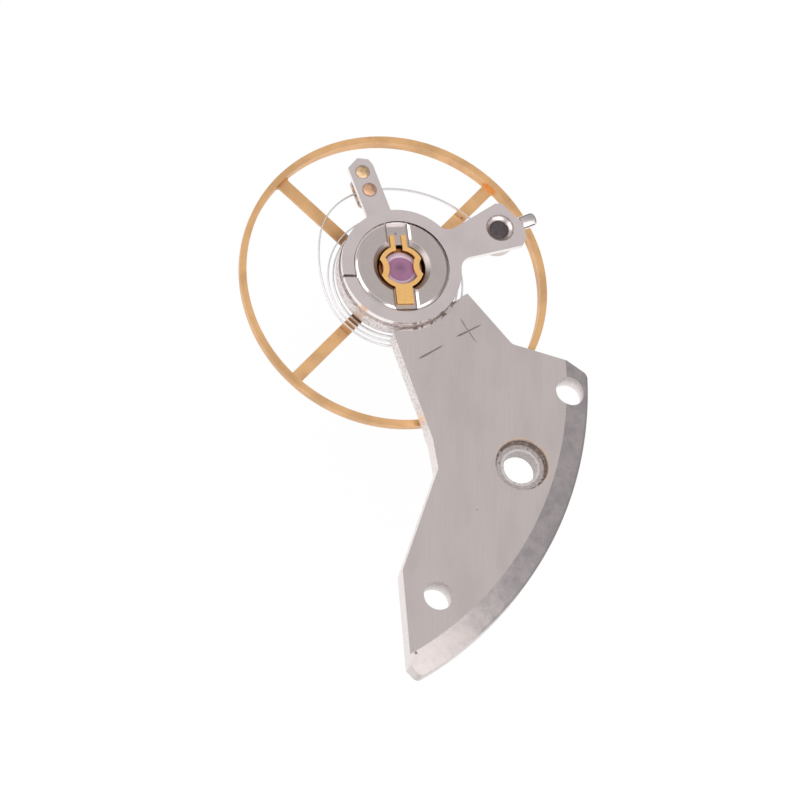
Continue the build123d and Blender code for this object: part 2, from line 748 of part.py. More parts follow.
def balance_wheel():
    """Plain rim on four flat spokes, riveted to the staff at its hub."""
    inner = wheel_radius - wheel_rim_width
    rim = turned([
        (inner, wheel_rim_bottom),
        (wheel_radius - wheel_rim_foot_taper, wheel_rim_bottom),
        (wheel_radius, (wheel_rim_top + wheel_rim_bottom) / 2),
        (wheel_radius, wheel_rim_top - wheel_rim_bevel),
        (wheel_radius - wheel_rim_bevel, wheel_rim_top),
        (inner + wheel_rim_bevel, wheel_rim_top),
        (inner, wheel_rim_top - wheel_rim_bevel),
    ])
    web = Circle(hub_radius)
    for count in range(spoke_count):
        spoke = Pos(inner / 2, 0, 0) * Rectangle(inner, spoke_width)
        web += at_angle(count * 360 / spoke_count) * spoke
    web += Circle(wheel_radius - wheel_rim_width / 2) - Circle(inner)
    corners = []
    for vertex in web.vertices():
        if abs(math.hypot(vertex.X, vertex.Y) - inner) < match_tolerance:
            corners.append(vertex)
    web = fillet(corners, spoke_fillet)
    web -= Circle(wheel_seat_radius)
    spokes = Pos(0, 0, spoke_bottom) * extrude(web, spoke_thickness)
    return staff_axis * at_angle(spoke_angle) * (rim + spokes)


def balance_staff():
    """Turned staff with its two pivots, collet seat, wheel seat, flange and roller seat."""
    upper_cone = staff_top - pivot_length
    lower_cone = staff_bottom + pivot_length
    tip = pivot_radius / 2
    staff = turned([
        (0, staff_bottom),
        (tip, staff_bottom),
        (pivot_radius, staff_bottom + tip),
        (pivot_radius, lower_cone),
        (staff_neck_radius, lower_cone + pivot_cone_length),
        (staff_neck_radius, lower_neck_top),
        (roller_seat_radius, lower_neck_top),
        (roller_seat_radius, flange_bottom),
        (staff_flange_radius - edge_break, flange_bottom),
        (staff_flange_radius, flange_bottom + edge_break),
        (staff_flange_radius, spoke_bottom),
        (wheel_seat_radius, spoke_bottom),
        (wheel_seat_radius, collet_bottom),
        (collet_seat_radius, collet_bottom),
        (collet_seat_radius, collet_top),
        (staff_neck_radius, collet_top),
        (staff_neck_radius, upper_cone - pivot_cone_length),
        (pivot_radius, upper_cone),
        (pivot_radius, staff_top - tip),
        (tip, staff_top),
        (0, staff_top),
    ])
    return staff_axis * staff


def impulse_outline(radius):
    """Half-moon outline of the impulse jewel, flat side away from the staff."""
    flat = impulse_jewel_radius * impulse_jewel_flat_share
    far = Pos(flat + 2 * impulse_jewel_radius, 0, 0) * Rectangle(4 * impulse_jewel_radius, 4 * impulse_jewel_radius)
    return Pos(impulse_jewel_distance, 0, 0) * (Circle(radius) - far)


def roller_table():
    """Main roller with its hub, set for the impulse jewel."""
    table = disc(roller_radius, roller_bottom, roller_top)
    table = chamfer(table.edges().filter_by(GeomType.CIRCLE), edge_break)
    table += disc(roller_hub_radius, roller_bottom - roller_hub_length, roller_bottom)
    table -= disc(roller_seat_radius, roller_bottom - roller_hub_length, roller_top)
    table -= Pos(0, 0, roller_bottom) * extrude(impulse_outline(impulse_jewel_radius), roller_thickness)
    return staff_axis * at_angle(roller_angle) * table


def safety_roller():
    """Small roller with the passing hollow in line with the impulse jewel."""
    roller = disc(safety_roller_radius, safety_bottom, safety_top)
    roller -= disc(roller_seat_radius, safety_bottom, safety_top)
    hollow = disc(passing_hollow_radius, safety_bottom, safety_top)
    roller -= Pos(safety_roller_radius + passing_hollow_radius / 3, 0, 0) * hollow
    return staff_axis * at_angle(roller_angle) * roller


def impulse_jewel():
    """Half-moon pin of synthetic ruby, shellacked in the roller table."""
    jewel = extrude(impulse_outline(impulse_jewel_radius), impulse_jewel_length)
    return staff_axis * at_angle(roller_angle) * Pos(0, 0, roller_top - impulse_jewel_length) * jewel


pieces = {
    "balance_cock": balance_cock,
    "shock_block": shock_block,
    "jewel_setting": jewel_setting,
    "hole_jewel": hole_jewel,
    "cap_jewel": cap_jewel,
    "shock_spring": shock_spring,
    "regulator": regulator,
    "curb_pin": curb_pin,
    "curb_boot": curb_boot,
    "stud_carrier": stud_carrier,
    "hairspring_stud": hairspring_stud,
    "stud_screw": stud_screw,
    "stud_pin": stud_pin,
    "hairspring": hairspring,
    "hairspring_collet": hairspring_collet,
    "collet_pin": collet_pin,
    "balance_wheel": balance_wheel,
    "balance_staff": balance_staff,
    "roller_table": roller_table,
    "safety_roller": safety_roller,
    "impulse_jewel": impulse_jewel,
}

report_strip()
for name, make in pieces.items():
    export_step(make(), os.path.join("parts", name + ".step"))
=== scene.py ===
import json
import math

import bmesh
import bpy
from bpy.props import FloatProperty, FloatVectorProperty, IntProperty, PointerProperty
from mathutils import Matrix, Quaternion, Vector


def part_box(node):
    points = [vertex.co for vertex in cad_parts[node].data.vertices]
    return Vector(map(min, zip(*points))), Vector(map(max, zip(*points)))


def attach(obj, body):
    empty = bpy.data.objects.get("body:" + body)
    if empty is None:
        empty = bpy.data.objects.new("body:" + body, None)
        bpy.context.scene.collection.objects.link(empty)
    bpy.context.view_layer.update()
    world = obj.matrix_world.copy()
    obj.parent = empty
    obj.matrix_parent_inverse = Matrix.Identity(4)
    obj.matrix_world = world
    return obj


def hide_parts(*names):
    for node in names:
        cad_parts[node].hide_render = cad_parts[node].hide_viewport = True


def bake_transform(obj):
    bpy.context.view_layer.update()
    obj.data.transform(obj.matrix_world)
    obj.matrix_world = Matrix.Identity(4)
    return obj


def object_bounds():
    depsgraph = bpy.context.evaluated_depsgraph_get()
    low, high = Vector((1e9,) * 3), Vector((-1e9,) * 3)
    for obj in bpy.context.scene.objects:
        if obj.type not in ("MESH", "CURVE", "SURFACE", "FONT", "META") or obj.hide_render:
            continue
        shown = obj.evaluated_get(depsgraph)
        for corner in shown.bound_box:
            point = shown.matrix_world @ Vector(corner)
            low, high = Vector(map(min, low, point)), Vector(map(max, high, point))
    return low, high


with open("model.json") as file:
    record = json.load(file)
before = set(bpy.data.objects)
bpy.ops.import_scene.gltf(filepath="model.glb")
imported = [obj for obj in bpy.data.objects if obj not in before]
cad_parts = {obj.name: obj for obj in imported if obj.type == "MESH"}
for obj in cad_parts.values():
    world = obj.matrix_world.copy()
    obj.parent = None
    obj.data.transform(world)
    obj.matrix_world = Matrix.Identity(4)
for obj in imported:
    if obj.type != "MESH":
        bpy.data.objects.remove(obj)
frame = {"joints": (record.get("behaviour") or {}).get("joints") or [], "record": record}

bl_info = {
    "name": "Watch balance with cock",
    "version": (1, 0, 0),
    "blender": (4, 5, 0),
    "location": "View3D > Sidebar > Balance",
    "description": "Dresses a packed watch balance and its cock with finished pieces, light and camera",
    "category": "Object",
}

# Pieces are drawn in millimetres about the axis that they are turned or set on, and are
# brought to metres and to their place in the frame when they are done.
MM = 0.001
CAD_LOW, CAD_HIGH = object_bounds()
RECORD = frame["record"]
BODY_OF = {node: body for body, nodes in RECORD["behaviour"]["bodies"].items() for node in nodes}
SWING = next(joint for joint in frame["joints"] if joint["name"] == "balance_swing")
STAFF = tuple(value / MM for value in SWING["pos_m"])
# The two upright axes that pieces are drawn about: the staff's, and the cock's screw's at the origin
ON_STAFF = (STAFF[0], STAFF[1], 0)
AT_SCREW = (0, 0, 0)


def heights(node):
    """The lowest and highest place of a node, in millimetres."""
    low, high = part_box(node)
    return low.z / MM, high.z / MM


def widest(node):
    """Half of a node's extent along X, in millimetres: the radius of a turned piece."""
    low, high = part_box(node)
    return (high.x - low.x) / MM / 2


def on_circle(radius, turn):
    """A place at a radius and an angle about the origin."""
    return (radius * math.cos(turn), radius * math.sin(turn))


def about_staff(radius, turn):
    """A place at a radius and an angle about the staff axis."""
    x, y = on_circle(radius, turn)
    return (STAFF[0] + x, STAFF[1] + y)


# Places on the cock, in millimetres from the screw's axis
STEADY_HOLES = ((2.820, 1.459), (-4.834, -2.576))
PLUS = (0.904, 4.756)
MINUS = (-0.610, 4.682)
# The strokes of the two engraved marks: a middle and a direction in degrees each
STROKES = ((PLUS, 0), (PLUS, -86.8), (MINUS, 2.5))
# The blunt end of the stud carrier's arm, as shares of the land past the stud and of half its width
ARM_END = ((0.445, -1.0), (0.171, -0.80), (0.03, -0.42), (0.0, -0.05), (0.174, 0.28), (0.41, 0.89), (0.67, 1.0))
# The pins that wedge the hairspring's ends, and the room round the strip where it is held
PEG_RADIUS = 0.035
STRIP_PLAY = 0.03
# How far a tool that cuts reaches past its piece
PAST = 1


# Properties: sizes are stored in metres, colours as linear values of sRGB hex colours.


def linear(code):
    """An sRGB hex colour as linear red, green and blue."""
    parts = [int(code[place:place + 2], 16) / 255 for place in (0, 2, 4)]
    return [part / 12.92 if part <= 0.04045 else ((part + 0.055) / 1.055) ** 2.4 for part in parts]


def length(name, description, millimetres):
    """A length, given in millimetres."""
    return FloatProperty(name=name, description=description, default=millimetres * MM, unit="LENGTH", precision=5)


def angle(name, description, degrees):
    """An angle, given in degrees."""
    return FloatProperty(name=name, description=description, default=math.radians(degrees), subtype="ANGLE")


def colour(name, description, code):
    """A colour, given as sRGB hex."""
    return FloatVectorProperty(
        name=name, description=description, default=linear(code), subtype="COLOR", size=3, min=0, max=1)


class BALANCE_CockSizes(bpy.types.PropertyGroup):
    """Sizes of the cock"""

    rim_radius: length("Rim radius", "Round outer side of the cock, about the middle of the movement", 12.4)
    middle_x: length("Middle X", "Middle of the movement from the screw, along X", -7.1)
    middle_y: length("Middle Y", "Middle of the movement from the screw, along Y", 7.8)
    bevel_width: length("Rim bevel width", "Width of the wide bevel along the round side", 0.75)
    bevel_drop: length("Rim bevel drop", "How far that bevel falls towards the rim", 0.22)
    waist_fillet: length("Waist fillet", "Radius in the cock's two hollow corners", 0.25)
    boss_radius: length("Boss radius", "Round end of the neck, under the regulator", 2.0)
    shelf_radius: length("Shelf radius", "Round step in the neck round the regulator", 2.15)
    shelf_depth: length("Shelf depth", "Depth of that step", 0.12)
    sink_radius: length("Sink radius", "Underside milled away over the wheel", 5.45)
    sink_depth: length("Sink depth", "Depth of that milling", 0.10)
    seat_radius: length("Seat radius", "Hole for the shock block", 1.2)
    screw_radius: length("Screw hole radius", "Hole for the cock's screw", 0.55)
    head_radius: length("Screw head radius", "Recess for the head of the cock's screw", 0.86)
    head_depth: length("Screw head depth", "Depth of that recess", 0.25)
    steady_radius: length("Steady hole radius", "Holes for the steady pins", 0.48)
    edge: length("Edge", "Polished edge round the top", 0.03)
    corner_round: length("Corner round", "Rounded corner at the near end of the round side", 0.25)
    tip_round: length("Tip round", "Rounded tip at its far end", 0.20)
    mark_width: length("Mark width", "Width of the two engraved marks", 0.075)
    mark_depth: length("Mark depth", "Depth of the two engraved marks", 0.04)
    mark_length: length("Mark length", "Length of a mark's stroke", 1.02)


class BALANCE_SettingSizes(bpy.types.PropertyGroup):
    """Sizes of the shock block, the jewels and the lyre spring"""

    block_radius: length("Block radius", "Shock block's outer radius", 1.525)
    lip_radius: length("Lip radius", "Block's upper lip, which holds the stud carrier", 1.555)
    lip_height: length("Lip height", "Height of that lip", 0.10)
    bore_radius: length("Bore radius", "Block's bore round the jewel setting", 0.80)
    chamfer: length("Chamfer", "Polished chamfer round the block's top", 0.09)
    bore_chamfer: length("Bore chamfer", "Polished chamfer round its bore", 0.15)
    slot_edge: length("Slot edge", "Polished bevels along the slot", 0.05)
    opening_radius: length("Staff opening", "Opening for the staff", 0.36)
    floor_rise: length("Floor rise", "Block's floor above its foot", 0.235)
    cone: length("Cone", "Width and height of the cone that centres the setting", 0.10)
    slot_width: length("Slot width", "Slot across the block", 0.70)
    lyre_radius: length("Lyre radius", "Outer radius of the lyre spring's band", 0.745)
    lyre_band: length("Lyre band", "Width of that band", 0.15)
    lyre_waist: length("Lyre waist", "Width of the band at its two waists", 0.20)
    lyre_dent: length("Lyre dent", "Radius of the band's two waists", 0.43)
    lyre_dent_place: length("Lyre dent place", "Staff axis to the middle of each waist's circle", 1.03)
    prong_width: length("Prong width", "Width of the lyre spring's prongs", 0.165)
    prong_gap: length("Prong gap", "Gap between the prongs", 0.22)
    prong_end: length("Prong end", "Reach of the prongs", 1.11)
    tab_width: length("Tab width", "Width of the hinged tab", 0.57)
    tab_end: length("Tab end", "Reach of the hinged tab", 1.285)
    jewel_bevel: length("Jewel bevel", "Width of the bevel round the cap jewel", 0.14)
    jewel_bevel_drop: length("Jewel bevel drop", "How far that bevel falls", 0.07)
    jewel_hole: length("Jewel hole", "Hole for the upper pivot", 0.075)
    lyre_angle: angle("Lyre angle", "Direction of the lyre spring's prongs from +X", 65)


class BALANCE_ArmSizes(bpy.types.PropertyGroup):
    """Sizes of the regulator and the stud carrier, and of what they carry"""

    ring_bore: length("Ring bore", "Bore of both rings round the block", 1.555)
    lip_bore: length("Lip bore", "Bore of the stud carrier round the block's lip", 1.58)
    regulator_radius: length("Regulator radius", "Outer radius of the regulator's ring", 1.93)
    regulator_width: length("Regulator arm width", "Width of the index arm", 0.84)
    regulator_reach: length("Regulator reach", "Reach of the index arm's point", 4.045)
    regulator_point: length("Regulator point", "Length of the pointed end", 0.25)
    regulator_heel: length("Regulator heel", "Length of its blunt heel", 0.36)
    regulator_fillet: length("Regulator fillet", "Radius where the arm leaves the ring", 0.30)
    carrier_radius: length("Carrier radius", "Outer radius of the stud carrier's ring", 1.98)
    carrier_reach: length("Carrier reach", "Reach of the stud carrier's arm", 4.43)
    carrier_root: length("Carrier root", "Width of the arm at the ring", 0.90)
    carrier_end: length("Carrier end", "Width of the arm at its end", 1.66)
    carrier_fillet: length("Carrier fillet", "Radius where the arm leaves the ring", 0.42)
    carrier_slit: length("Carrier slit", "Width of the slit that lets the ring grip", 0.09)
    carrier_edge: length("Carrier edge", "Polished bevel round the stud carrier's top", 0.06)
    plate_edge: length("Plate edge", "Polished bevel round the regulator's top", 0.03)
    pin_distance: length("Curb pin distance", "Staff axis to the outer curb pin", 3.535)
    boot_distance: length("Boot distance", "Staff axis to the turning boot", 2.885)
    head_radius: length("Pin head radius", "Riveted heads of pin and boot", 0.225)
    shank_radius: length("Pin shank radius", "Shanks of pin and boot", 0.10)
    boot_radius: length("Boot radius", "Collars of the boot", 0.17)
    stud_distance: length("Stud distance", "Staff axis to the stud", 3.66)
    stud_radius: length("Stud radius", "Stud's body in the arm", 0.30)
    stud_stem: length("Stud stem", "Stud's stem below the arm", 0.22)
    stud_sink: length("Stud sink", "Countersink round the stud", 0.15)
    boss_radius: length("Stud boss radius", "Boss under the arm's end", 0.66)
    boss_height: length("Stud boss height", "Height of that boss", 0.60)
    screw_radius: length("Stud screw radius", "Thread of the stud screw", 0.13)
    screw_head: length("Stud screw head", "Radius of the stud screw's head", 0.235)
    screw_drop: length("Stud screw drop", "Stud screw's axis below the arm", 0.24)
    screw_gap: length("Stud screw gap", "Gap between the arm's end and the screw's head", 0.08)
    screw_length: length("Stud screw head length", "Length of the stud screw's head", 0.56)
    regulator_angle: angle("Regulator angle", "Direction of the index arm from +X", 79)
    carrier_angle: angle("Carrier angle", "Direction of the stud carrier's arm from +X", -4.8)
    slit_angle: angle("Slit angle", "Direction of the carrier's slit from +X", 163.4)
    slit_skew: angle("Slit skew", "How far the slit turns from the ring's radius there", -11)


class BALANCE_SpringSizes(bpy.types.PropertyGroup):
    """Sizes of the hairspring's strip and its line"""

    thickness: length("Strip thickness", "Thickness of the hairspring's strip", 0.045)
    start_radius: length("Start radius", "Where the strip starts, in the collet", 0.40)
    first_radius: length("First radius", "Radius after the first half turn", 0.68)
    coil_radius: length("Coil radius", "Radius where the last even coil ends", 2.35)
    half_turns: IntProperty(name="Half turns", description="Half turns of even coil", default=20, min=2)
    coil_angle: angle("Coil angle", "Where the last even coil ends, from +X", 170)
    bend_angle: angle("Bend angle", "First, flatter arc of the outward bend", 30)
    end_angle: angle("End angle", "How far the strip runs on past the stud", 7)


class BALANCE_WheelSizes(bpy.types.PropertyGroup):
    """Sizes of the balance wheel"""

    radius: length("Wheel radius", "Outer radius of the rim", widest("balance_wheel"))
    rim_width: length("Rim width", "Width of the rim's top", 0.22)
    foot_taper: length("Foot taper", "How far the rim draws in towards its foot", 0.07)
    rim_edge: length("Rim edge", "Bright bevels along the rim's top", 0.035)
    hub_radius: length("Hub radius", "Hub between the spokes", 0.80)
    seat_radius: length("Seat radius", "Wheel's seat on the staff", 0.38)
    spoke_width: length("Spoke width", "Width of a spoke", 0.40)
    spoke_rise: length("Spoke rise", "Spokes' top above the rim's foot", 0.20)
    spoke_thickness: length("Spoke thickness", "Thickness of a spoke", 0.13)
    spoke_fillet: length("Spoke fillet", "Radius where a spoke meets the rim", 0.12)
    spokes: IntProperty(name="Spokes", description="Number of spokes", default=4, min=2)
    spoke_angle: angle("Spoke angle", "Direction of the first spoke from +X", 17)


class BALANCE_StaffSizes(bpy.types.PropertyGroup):
    """Sizes of the staff, the rollers and the impulse jewel"""

    flange_radius: length("Flange radius", "Flange under the wheel", 0.62)
    flange_height: length("Flange height", "Height of that flange", 0.15)
    neck_radius: length("Neck radius", "Staff's necks behind the pivots", 0.215)
    roller_seat: length("Roller seat radius", "Seat of both rollers", 0.24)
    collet_seat: length("Collet seat radius", "Seat of the collet", 0.25)
    pivot_radius: length("Pivot radius", "Both pivots", 0.055)
    pivot_length: length("Pivot length", "Length of a pivot", 0.26)
    cone_length: length("Cone length", "Cone behind a pivot", 0.20)
    neck_length: length("Neck length", "Lower neck", 0.30)
    table_thickness: length("Table thickness", "Thickness of the roller table", 0.20)
    table_hub: length("Table hub radius", "Hub under the roller table", 0.42)
    hollow_radius: length("Passing hollow", "Hollow in the safety roller", 0.22)
    jewel_distance: length("Impulse jewel distance", "Staff axis to the impulse jewel", 0.93)
    jewel_radius: length("Impulse jewel radius", "Radius of the impulse jewel", 0.15)
    roller_angle: angle("Roller angle", "Direction of the impulse jewel from +X", 250)


class BALANCE_Colours(bpy.types.PropertyGroup):
    """Colours of every finish"""

    nickel: colour("Nickel", "Grained nickel plate of the cock", "CAC0BE")
    nickel_dark: colour("Dark nickel", "Worn patches on the wide bevel", "B6AFB0")
    frost: colour("Frosted nickel", "Cut sides of the cock", "F8F1EF")
    frosted_steel: colour("Frosted steel", "Boss under the stud carrier", "D8CBC4")
    steel: colour("Steel", "Ground flats of the arms and rings", "D3C8C8")
    polished: colour("Polished steel", "Polished edges of the arms and rings", "F8F2F0")
    steel_dark: colour("Dark steel", "Turning marks on the block", "9A9496")
    block: colour("Block", "Turned shock block", "BFB5B2")
    gilt: colour("Gilt", "Gilt bronze of the wheel", "EDBC88")
    # Reddish gilt is also the base of the painted shade under the cock.
    gilt_red: colour("Reddish gilt", "Tarnish on the wheel", "BD8450")
    gilt_spring: colour("Gilt spring", "Lyre spring", "F8C47E")
    # The jewel cup's dark brown is painted shade, for the gaps round the lyre spring.
    gilt_brown: colour("Darkened gilt", "Jewel cup, seen in the gaps of the lyre spring", "96663C")
    brass: colour("Brass", "Outer curb pin and bare plate", "DFBE96")
    copper: colour("Copper brass", "Boot's head", "DDAF90")
    boot: colour("Tarnished brass", "Boot's body and foot", "DFCFC7")
    stud: colour("Stud", "Dark stud", "625A5C")
    alloy: colour("Spring alloy", "Hairspring", "ECE8EA")
    ruby: colour("Ruby", "Violet-pink jewels", "A66A93")
    ruby_rim: colour("Ruby rim", "Lit edge of the cap jewel", "F9DDF2")
    grime: colour("Grime", "Dried oil and dirt", "5E4638")


class BALANCE_Stage(bpy.types.PropertyGroup):
    """Camera and floor"""

    azimuth: angle("Azimuth", "Camera's direction round the object, 0 looking along +Y", -59.27)
    elevation: angle("Elevation", "Camera's height above the horizon", 64.2)
    roll: angle("Roll", "How far the camera is turned about its own line of sight", 30)
    aim: FloatVectorProperty(
        name="Aim", description="Point in the middle of the picture",
        default=(-1.874 * MM, 4.035 * MM, -0.552 * MM), subtype="XYZ_LENGTH", size=3)
    span: length("Span", "Width of what the picture shows", 25.8)
    distance: length("Distance", "Camera to the point it aims at", 250)
    floor_gap: length("Floor gap", "Floor below the lowest point", 6)


# Mesh tools

# Half of a corner's angle from which it is left as it is
NEARLY_STRAIGHT = math.radians(89.5)


def entries(group):
    """What a property group declares."""
    return [entry for entry in group.bl_rna.properties if entry.identifier not in ("rna_type", "name")]


def in_mm(group):
    """The values of a property group, with its lengths in millimetres."""
    values = {}
    for entry in entries(group):
        value = getattr(group, entry.identifier)
        values[entry.identifier] = value / MM if getattr(entry, "unit", "") == "LENGTH" else value
    return type("Sizes", (), values)


def settle(piece):
    """Applies a piece's modifiers."""
    bpy.context.view_layer.update()
    seen = piece.evaluated_get(bpy.context.evaluated_depsgraph_get())
    mesh = bpy.data.meshes.new_from_object(seen)
    piece.modifiers.clear()
    piece.data = mesh
    return piece


def from_bmesh(name, drawn):
    """A piece from a drawn mesh."""
    bmesh.ops.recalc_face_normals(drawn, faces=drawn.faces)
    mesh = bpy.data.meshes.new(name)
    drawn.to_mesh(mesh)
    drawn.free()
    piece = bpy.data.objects.new(name, mesh)
    bpy.context.scene.collection.objects.link(piece)
    return piece


def prism(name, outline, bottom, top):
    """Closed plate from a flat outline."""
    drawn = bmesh.new()
    lower = [drawn.verts.new((x, y, bottom)) for x, y in outline]
    upper = [drawn.verts.new((x, y, top)) for x, y in outline]
    drawn.faces.new(lower[::-1])
    drawn.faces.new(upper)
    for here in range(len(outline)):
        there = (here + 1) % len(outline)
        drawn.faces.new((lower[here], lower[there], upper[there], upper[here]))
    return from_bmesh(name, drawn)


def lathe(name, section, steps=144):
    """Turned piece about Z from its closed half section of radii and heights."""
    drawn = bmesh.new()
    rings = []
    for radius, height in section:
        if radius == 0:
            rings.append([drawn.verts.new((0, 0, height))] * steps)
            continue
        rings.append([drawn.verts.new((x, y, height)) for x, y in circle(radius, steps=steps)])
    for lower, upper in zip(rings, rings[1:] + rings[:1]):
        for here in range(steps):
            there = (here + 1) % steps
            corners = list(dict.fromkeys((lower[here], lower[there], upper[there], upper[here])))
            if len(corners) > 2:
                drawn.faces.new(corners)
    return from_bmesh(name, drawn)


def circle(radius, centre=(0, 0), steps=144):
    """Outline of a circle."""
    turns = [2 * math.pi * step / steps for step in range(steps)]
    return [(centre[0] + radius * math.cos(turn), centre[1] + radius * math.sin(turn)) for turn in turns]


def rod(radius, low, high, centre=(0, 0), steps=144, name="rod"):
    """Upright round piece or tool."""
    return prism(name, circle(radius, centre, steps), low, high)


def slab(x_low, x_high, y_low, y_high):
    """Outline of a rectangle."""
    return [(x_low, y_low), (x_high, y_low), (x_high, y_high), (x_low, y_high)]


def swept(middle, spoke, sweep, steps):
    """Outline of an arc, which a spoke about the middle sweeps out."""
    outline = []
    for step in range(steps + 1):
        turned = spoke.copy()
        turned.rotate(Matrix.Rotation(sweep * step / steps, 2))
        outline.append(tuple(middle + turned))
    return outline


def rounded(corners, radii, steps=10):
    """Outline through corners, each rounded to its own radius."""
    outline = []
    for place, radius in enumerate(radii):
        corner = Vector(corners[place])
        back = (Vector(corners[place - 1]) - corner).normalized()
        ahead = (Vector(corners[(place + 1) % len(corners)]) - corner).normalized()
        half = back.angle(ahead) / 2
        if radius == 0 or half > NEARLY_STRAIGHT:
            outline.append(tuple(corner))
            continue
        run = radius / math.tan(half)
        middle = corner + (back + ahead).normalized() * (radius / math.sin(half))
        start, end = corner + back * run - middle, corner + ahead * run - middle
        outline += swept(middle, start, -start.angle_signed(end), steps)
    return outline


def combine(piece, operation, *tools):
    """Changes a piece by tools, which are used up."""
    for tool in tools:
        change = piece.modifiers.new("combine", "BOOLEAN")
        change.operation = operation
        change.solver = "MANIFOLD"
        change.object = tool
        settle(piece)
        bpy.data.objects.remove(tool)
    return piece


def cut(piece, *tools):
    """Cuts tools out of a piece."""
    return combine(piece, "DIFFERENCE", *tools)


def join(piece, *tools):
    """Joins tools to a piece."""
    return combine(piece, "UNION", *tools)


def moved(piece, offset=(0, 0, 0), turn=0, axis="Z"):
    """Turns a piece about an axis through its drawing's middle, then moves it."""
    piece.data.transform(Matrix.Translation(offset) @ Matrix.Rotation(turn, 4, axis))
    return piece


def soften(piece, width, segments=1, least=30):
    """Breaks the edges that are sharper than an angle."""
    drawn = bmesh.new()
    drawn.from_mesh(piece.data)
    bmesh.ops.remove_doubles(drawn, verts=drawn.verts, dist=width / 50)
    bmesh.ops.dissolve_limit(
        drawn, angle_limit=math.radians(0.2), verts=drawn.verts, edges=drawn.edges, delimit={"NORMAL"})
    drawn.to_mesh(piece.data)
    drawn.free()
    bevel = piece.modifiers.new("edge", "BEVEL")
    bevel.width = width
    bevel.segments = segments
    bevel.angle_limit = math.radians(least)
    bevel.miter_outer = "MITER_ARC"
    return settle(piece)


def done(piece, material, node, offset=ON_STAFF, turn=0, smooth=18):
    """Brings a finished piece to metres and to its place, and ties it to the node it stands for."""
    piece.data.transform(Matrix.Scale(MM, 4) @ Matrix.Translation(offset) @ Matrix.Rotation(turn, 4, "Z"))
    piece.data.shade_smooth()
    piece.data.set_sharp_from_angle(angle=math.radians(smooth))
    piece.data.materials.clear()
    piece.data.materials.append(material)
    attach(piece, BODY_OF[node])
    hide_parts(node)
    return piece


# Materials


# Settings that many nodes share
SMOOTH = {"interpolation_type": "SMOOTHSTEP"}
COLOUR = {"data_type": "RGBA"}
TIMES = {"operation": "MULTIPLY"}
OVER = {"operation": "DIVIDE"}
SUM = {"operation": "ADD"}
LESS = {"operation": "SUBTRACT"}
LARGER = {"operation": "MAXIMUM"}
DISTANCE = {"operation": "DISTANCE"}
DOT = {"operation": "DOT_PRODUCT"}


def feed(tree, socket, value):
    """Links another node's output to an input, or sets the input to a plain value."""
    if isinstance(value, bpy.types.NodeSocket):
        tree.links.new(value, socket)
    elif value is not None:
        socket.default_value = (*value, 1) if socket.type == "RGBA" else value


def add(tree, kind, *values, out=None, **settings):
    """Adds a node and gives one of its outputs: the one called out, or else the first in use.
    Values go to its inputs in order. Settings are its own, or inputs where they start with a capital."""
    made = tree.nodes.new("ShaderNode" + kind)
    for name, value in settings.items():
        if name.islower():
            setattr(made, name, value)
    for socket, value in zip([socket for socket in made.inputs if socket.enabled], values):
        feed(tree, socket, value)
    for name, value in settings.items():
        if not name.islower():
            feed(tree, made.inputs[name], value)
    return made.outputs[out] if out else next(socket for socket in made.outputs if socket.enabled)


def shade(tone, share):
    """A colour times a share, which makes it darker below one."""
    return [part * share for part in tone]


# A share says how much of something there is at a place, from nought to one. It is a plain number,
# a node's output, or a pattern with two of its levels, between which it rises from nought to one.


def all_of(tree, *shares):
    """Where every share holds: their product."""
    product = None
    for share in shares:
        if isinstance(share, tuple):
            share = add(tree, "MapRange", *share, **SMOOTH)
        product = share if product is None else add(tree, "Math", product, share, **TIMES)
    return product


def any_of(tree, *shares):
    """Where one share or another holds: the largest of them."""
    largest = all_of(tree, shares[0])
    for share in shares[1:]:
        largest = add(tree, "Math", largest, all_of(tree, share), **LARGER)
    return largest


def rest_of(tree, *shares):
    """What the product of the shares leaves of one."""
    return add(tree, "Math", 1.0, all_of(tree, *shares), **LESS)


def lay(tree, under, over, *shares):
    """Lays one colour over another where every share holds."""
    return add(tree, "Mix", all_of(tree, *shares), under, over, **COLOUR)


def mottling(tree, size, seed, turn=0, detail=3, roughness=0.55):
    """Uneven pattern whose features measure size, one or three lengths in millimetres, turned about Z."""
    sides = [part * MM for part in (size if isinstance(size, tuple) else (size, size, size))]
    place = add(tree, "TexCoord", out="Object")
    mapped = add(tree, "Mapping", place, (seed * MM, 0, 0), (0, 0, turn), sides, vector_type="TEXTURE")
    return add(tree, "TexNoise", mapped, 1.0, detail, roughness)


def away_from(tree, centre):
    """Distance from an upright axis, in millimetres."""
    level = add(tree, "VectorMath", add(tree, "TexCoord", out="Object"), (1, 1, 0), **TIMES)
    away = add(tree, "VectorMath", level, (centre[0] * MM, centre[1] * MM, 0), **DISTANCE)
    return add(tree, "Math", away, MM, **OVER)


def height_in(tree):
    """Height in the part's frame, in millimetres."""
    rise = add(tree, "SeparateXYZ", add(tree, "TexCoord", out="Object"), out="Z")
    return add(tree, "Math", rise, MM, **OVER)


def facing_up(tree):
    """How far a surface faces straight up, from one to minus one."""
    return add(tree, "SeparateXYZ", add(tree, "NewGeometry", out="Normal"), out="Z")


def ring_about(tree, centre, inner, outer, soft):
    """A ring about an upright axis: one between two radii in millimetres, nought outside them."""
    away = away_from(tree, centre)
    return all_of(tree, (away, inner - soft, inner + soft), (away, outer + soft, outer - soft))


def turned_rings(tree, spacing, seed=0):
    """Fine concentric turning marks about the staff, a spacing in millimetres apart."""
    away = add(tree, "Math", away_from(tree, ON_STAFF), spacing, **OVER)
    return add(tree, "TexNoise", add(tree, "Math", away, seed, **SUM), 1.0, 2.0, noise_dimensions="1D")


def relief(tree, *layers):
    """Raises the surface by patterns, each with its depth in millimetres."""
    normal = None
    for pattern, depth in layers:
        normal = add(tree, "Bump", Strength=1.0, Distance=depth * MM, Height=pattern, Normal=normal)
    return normal


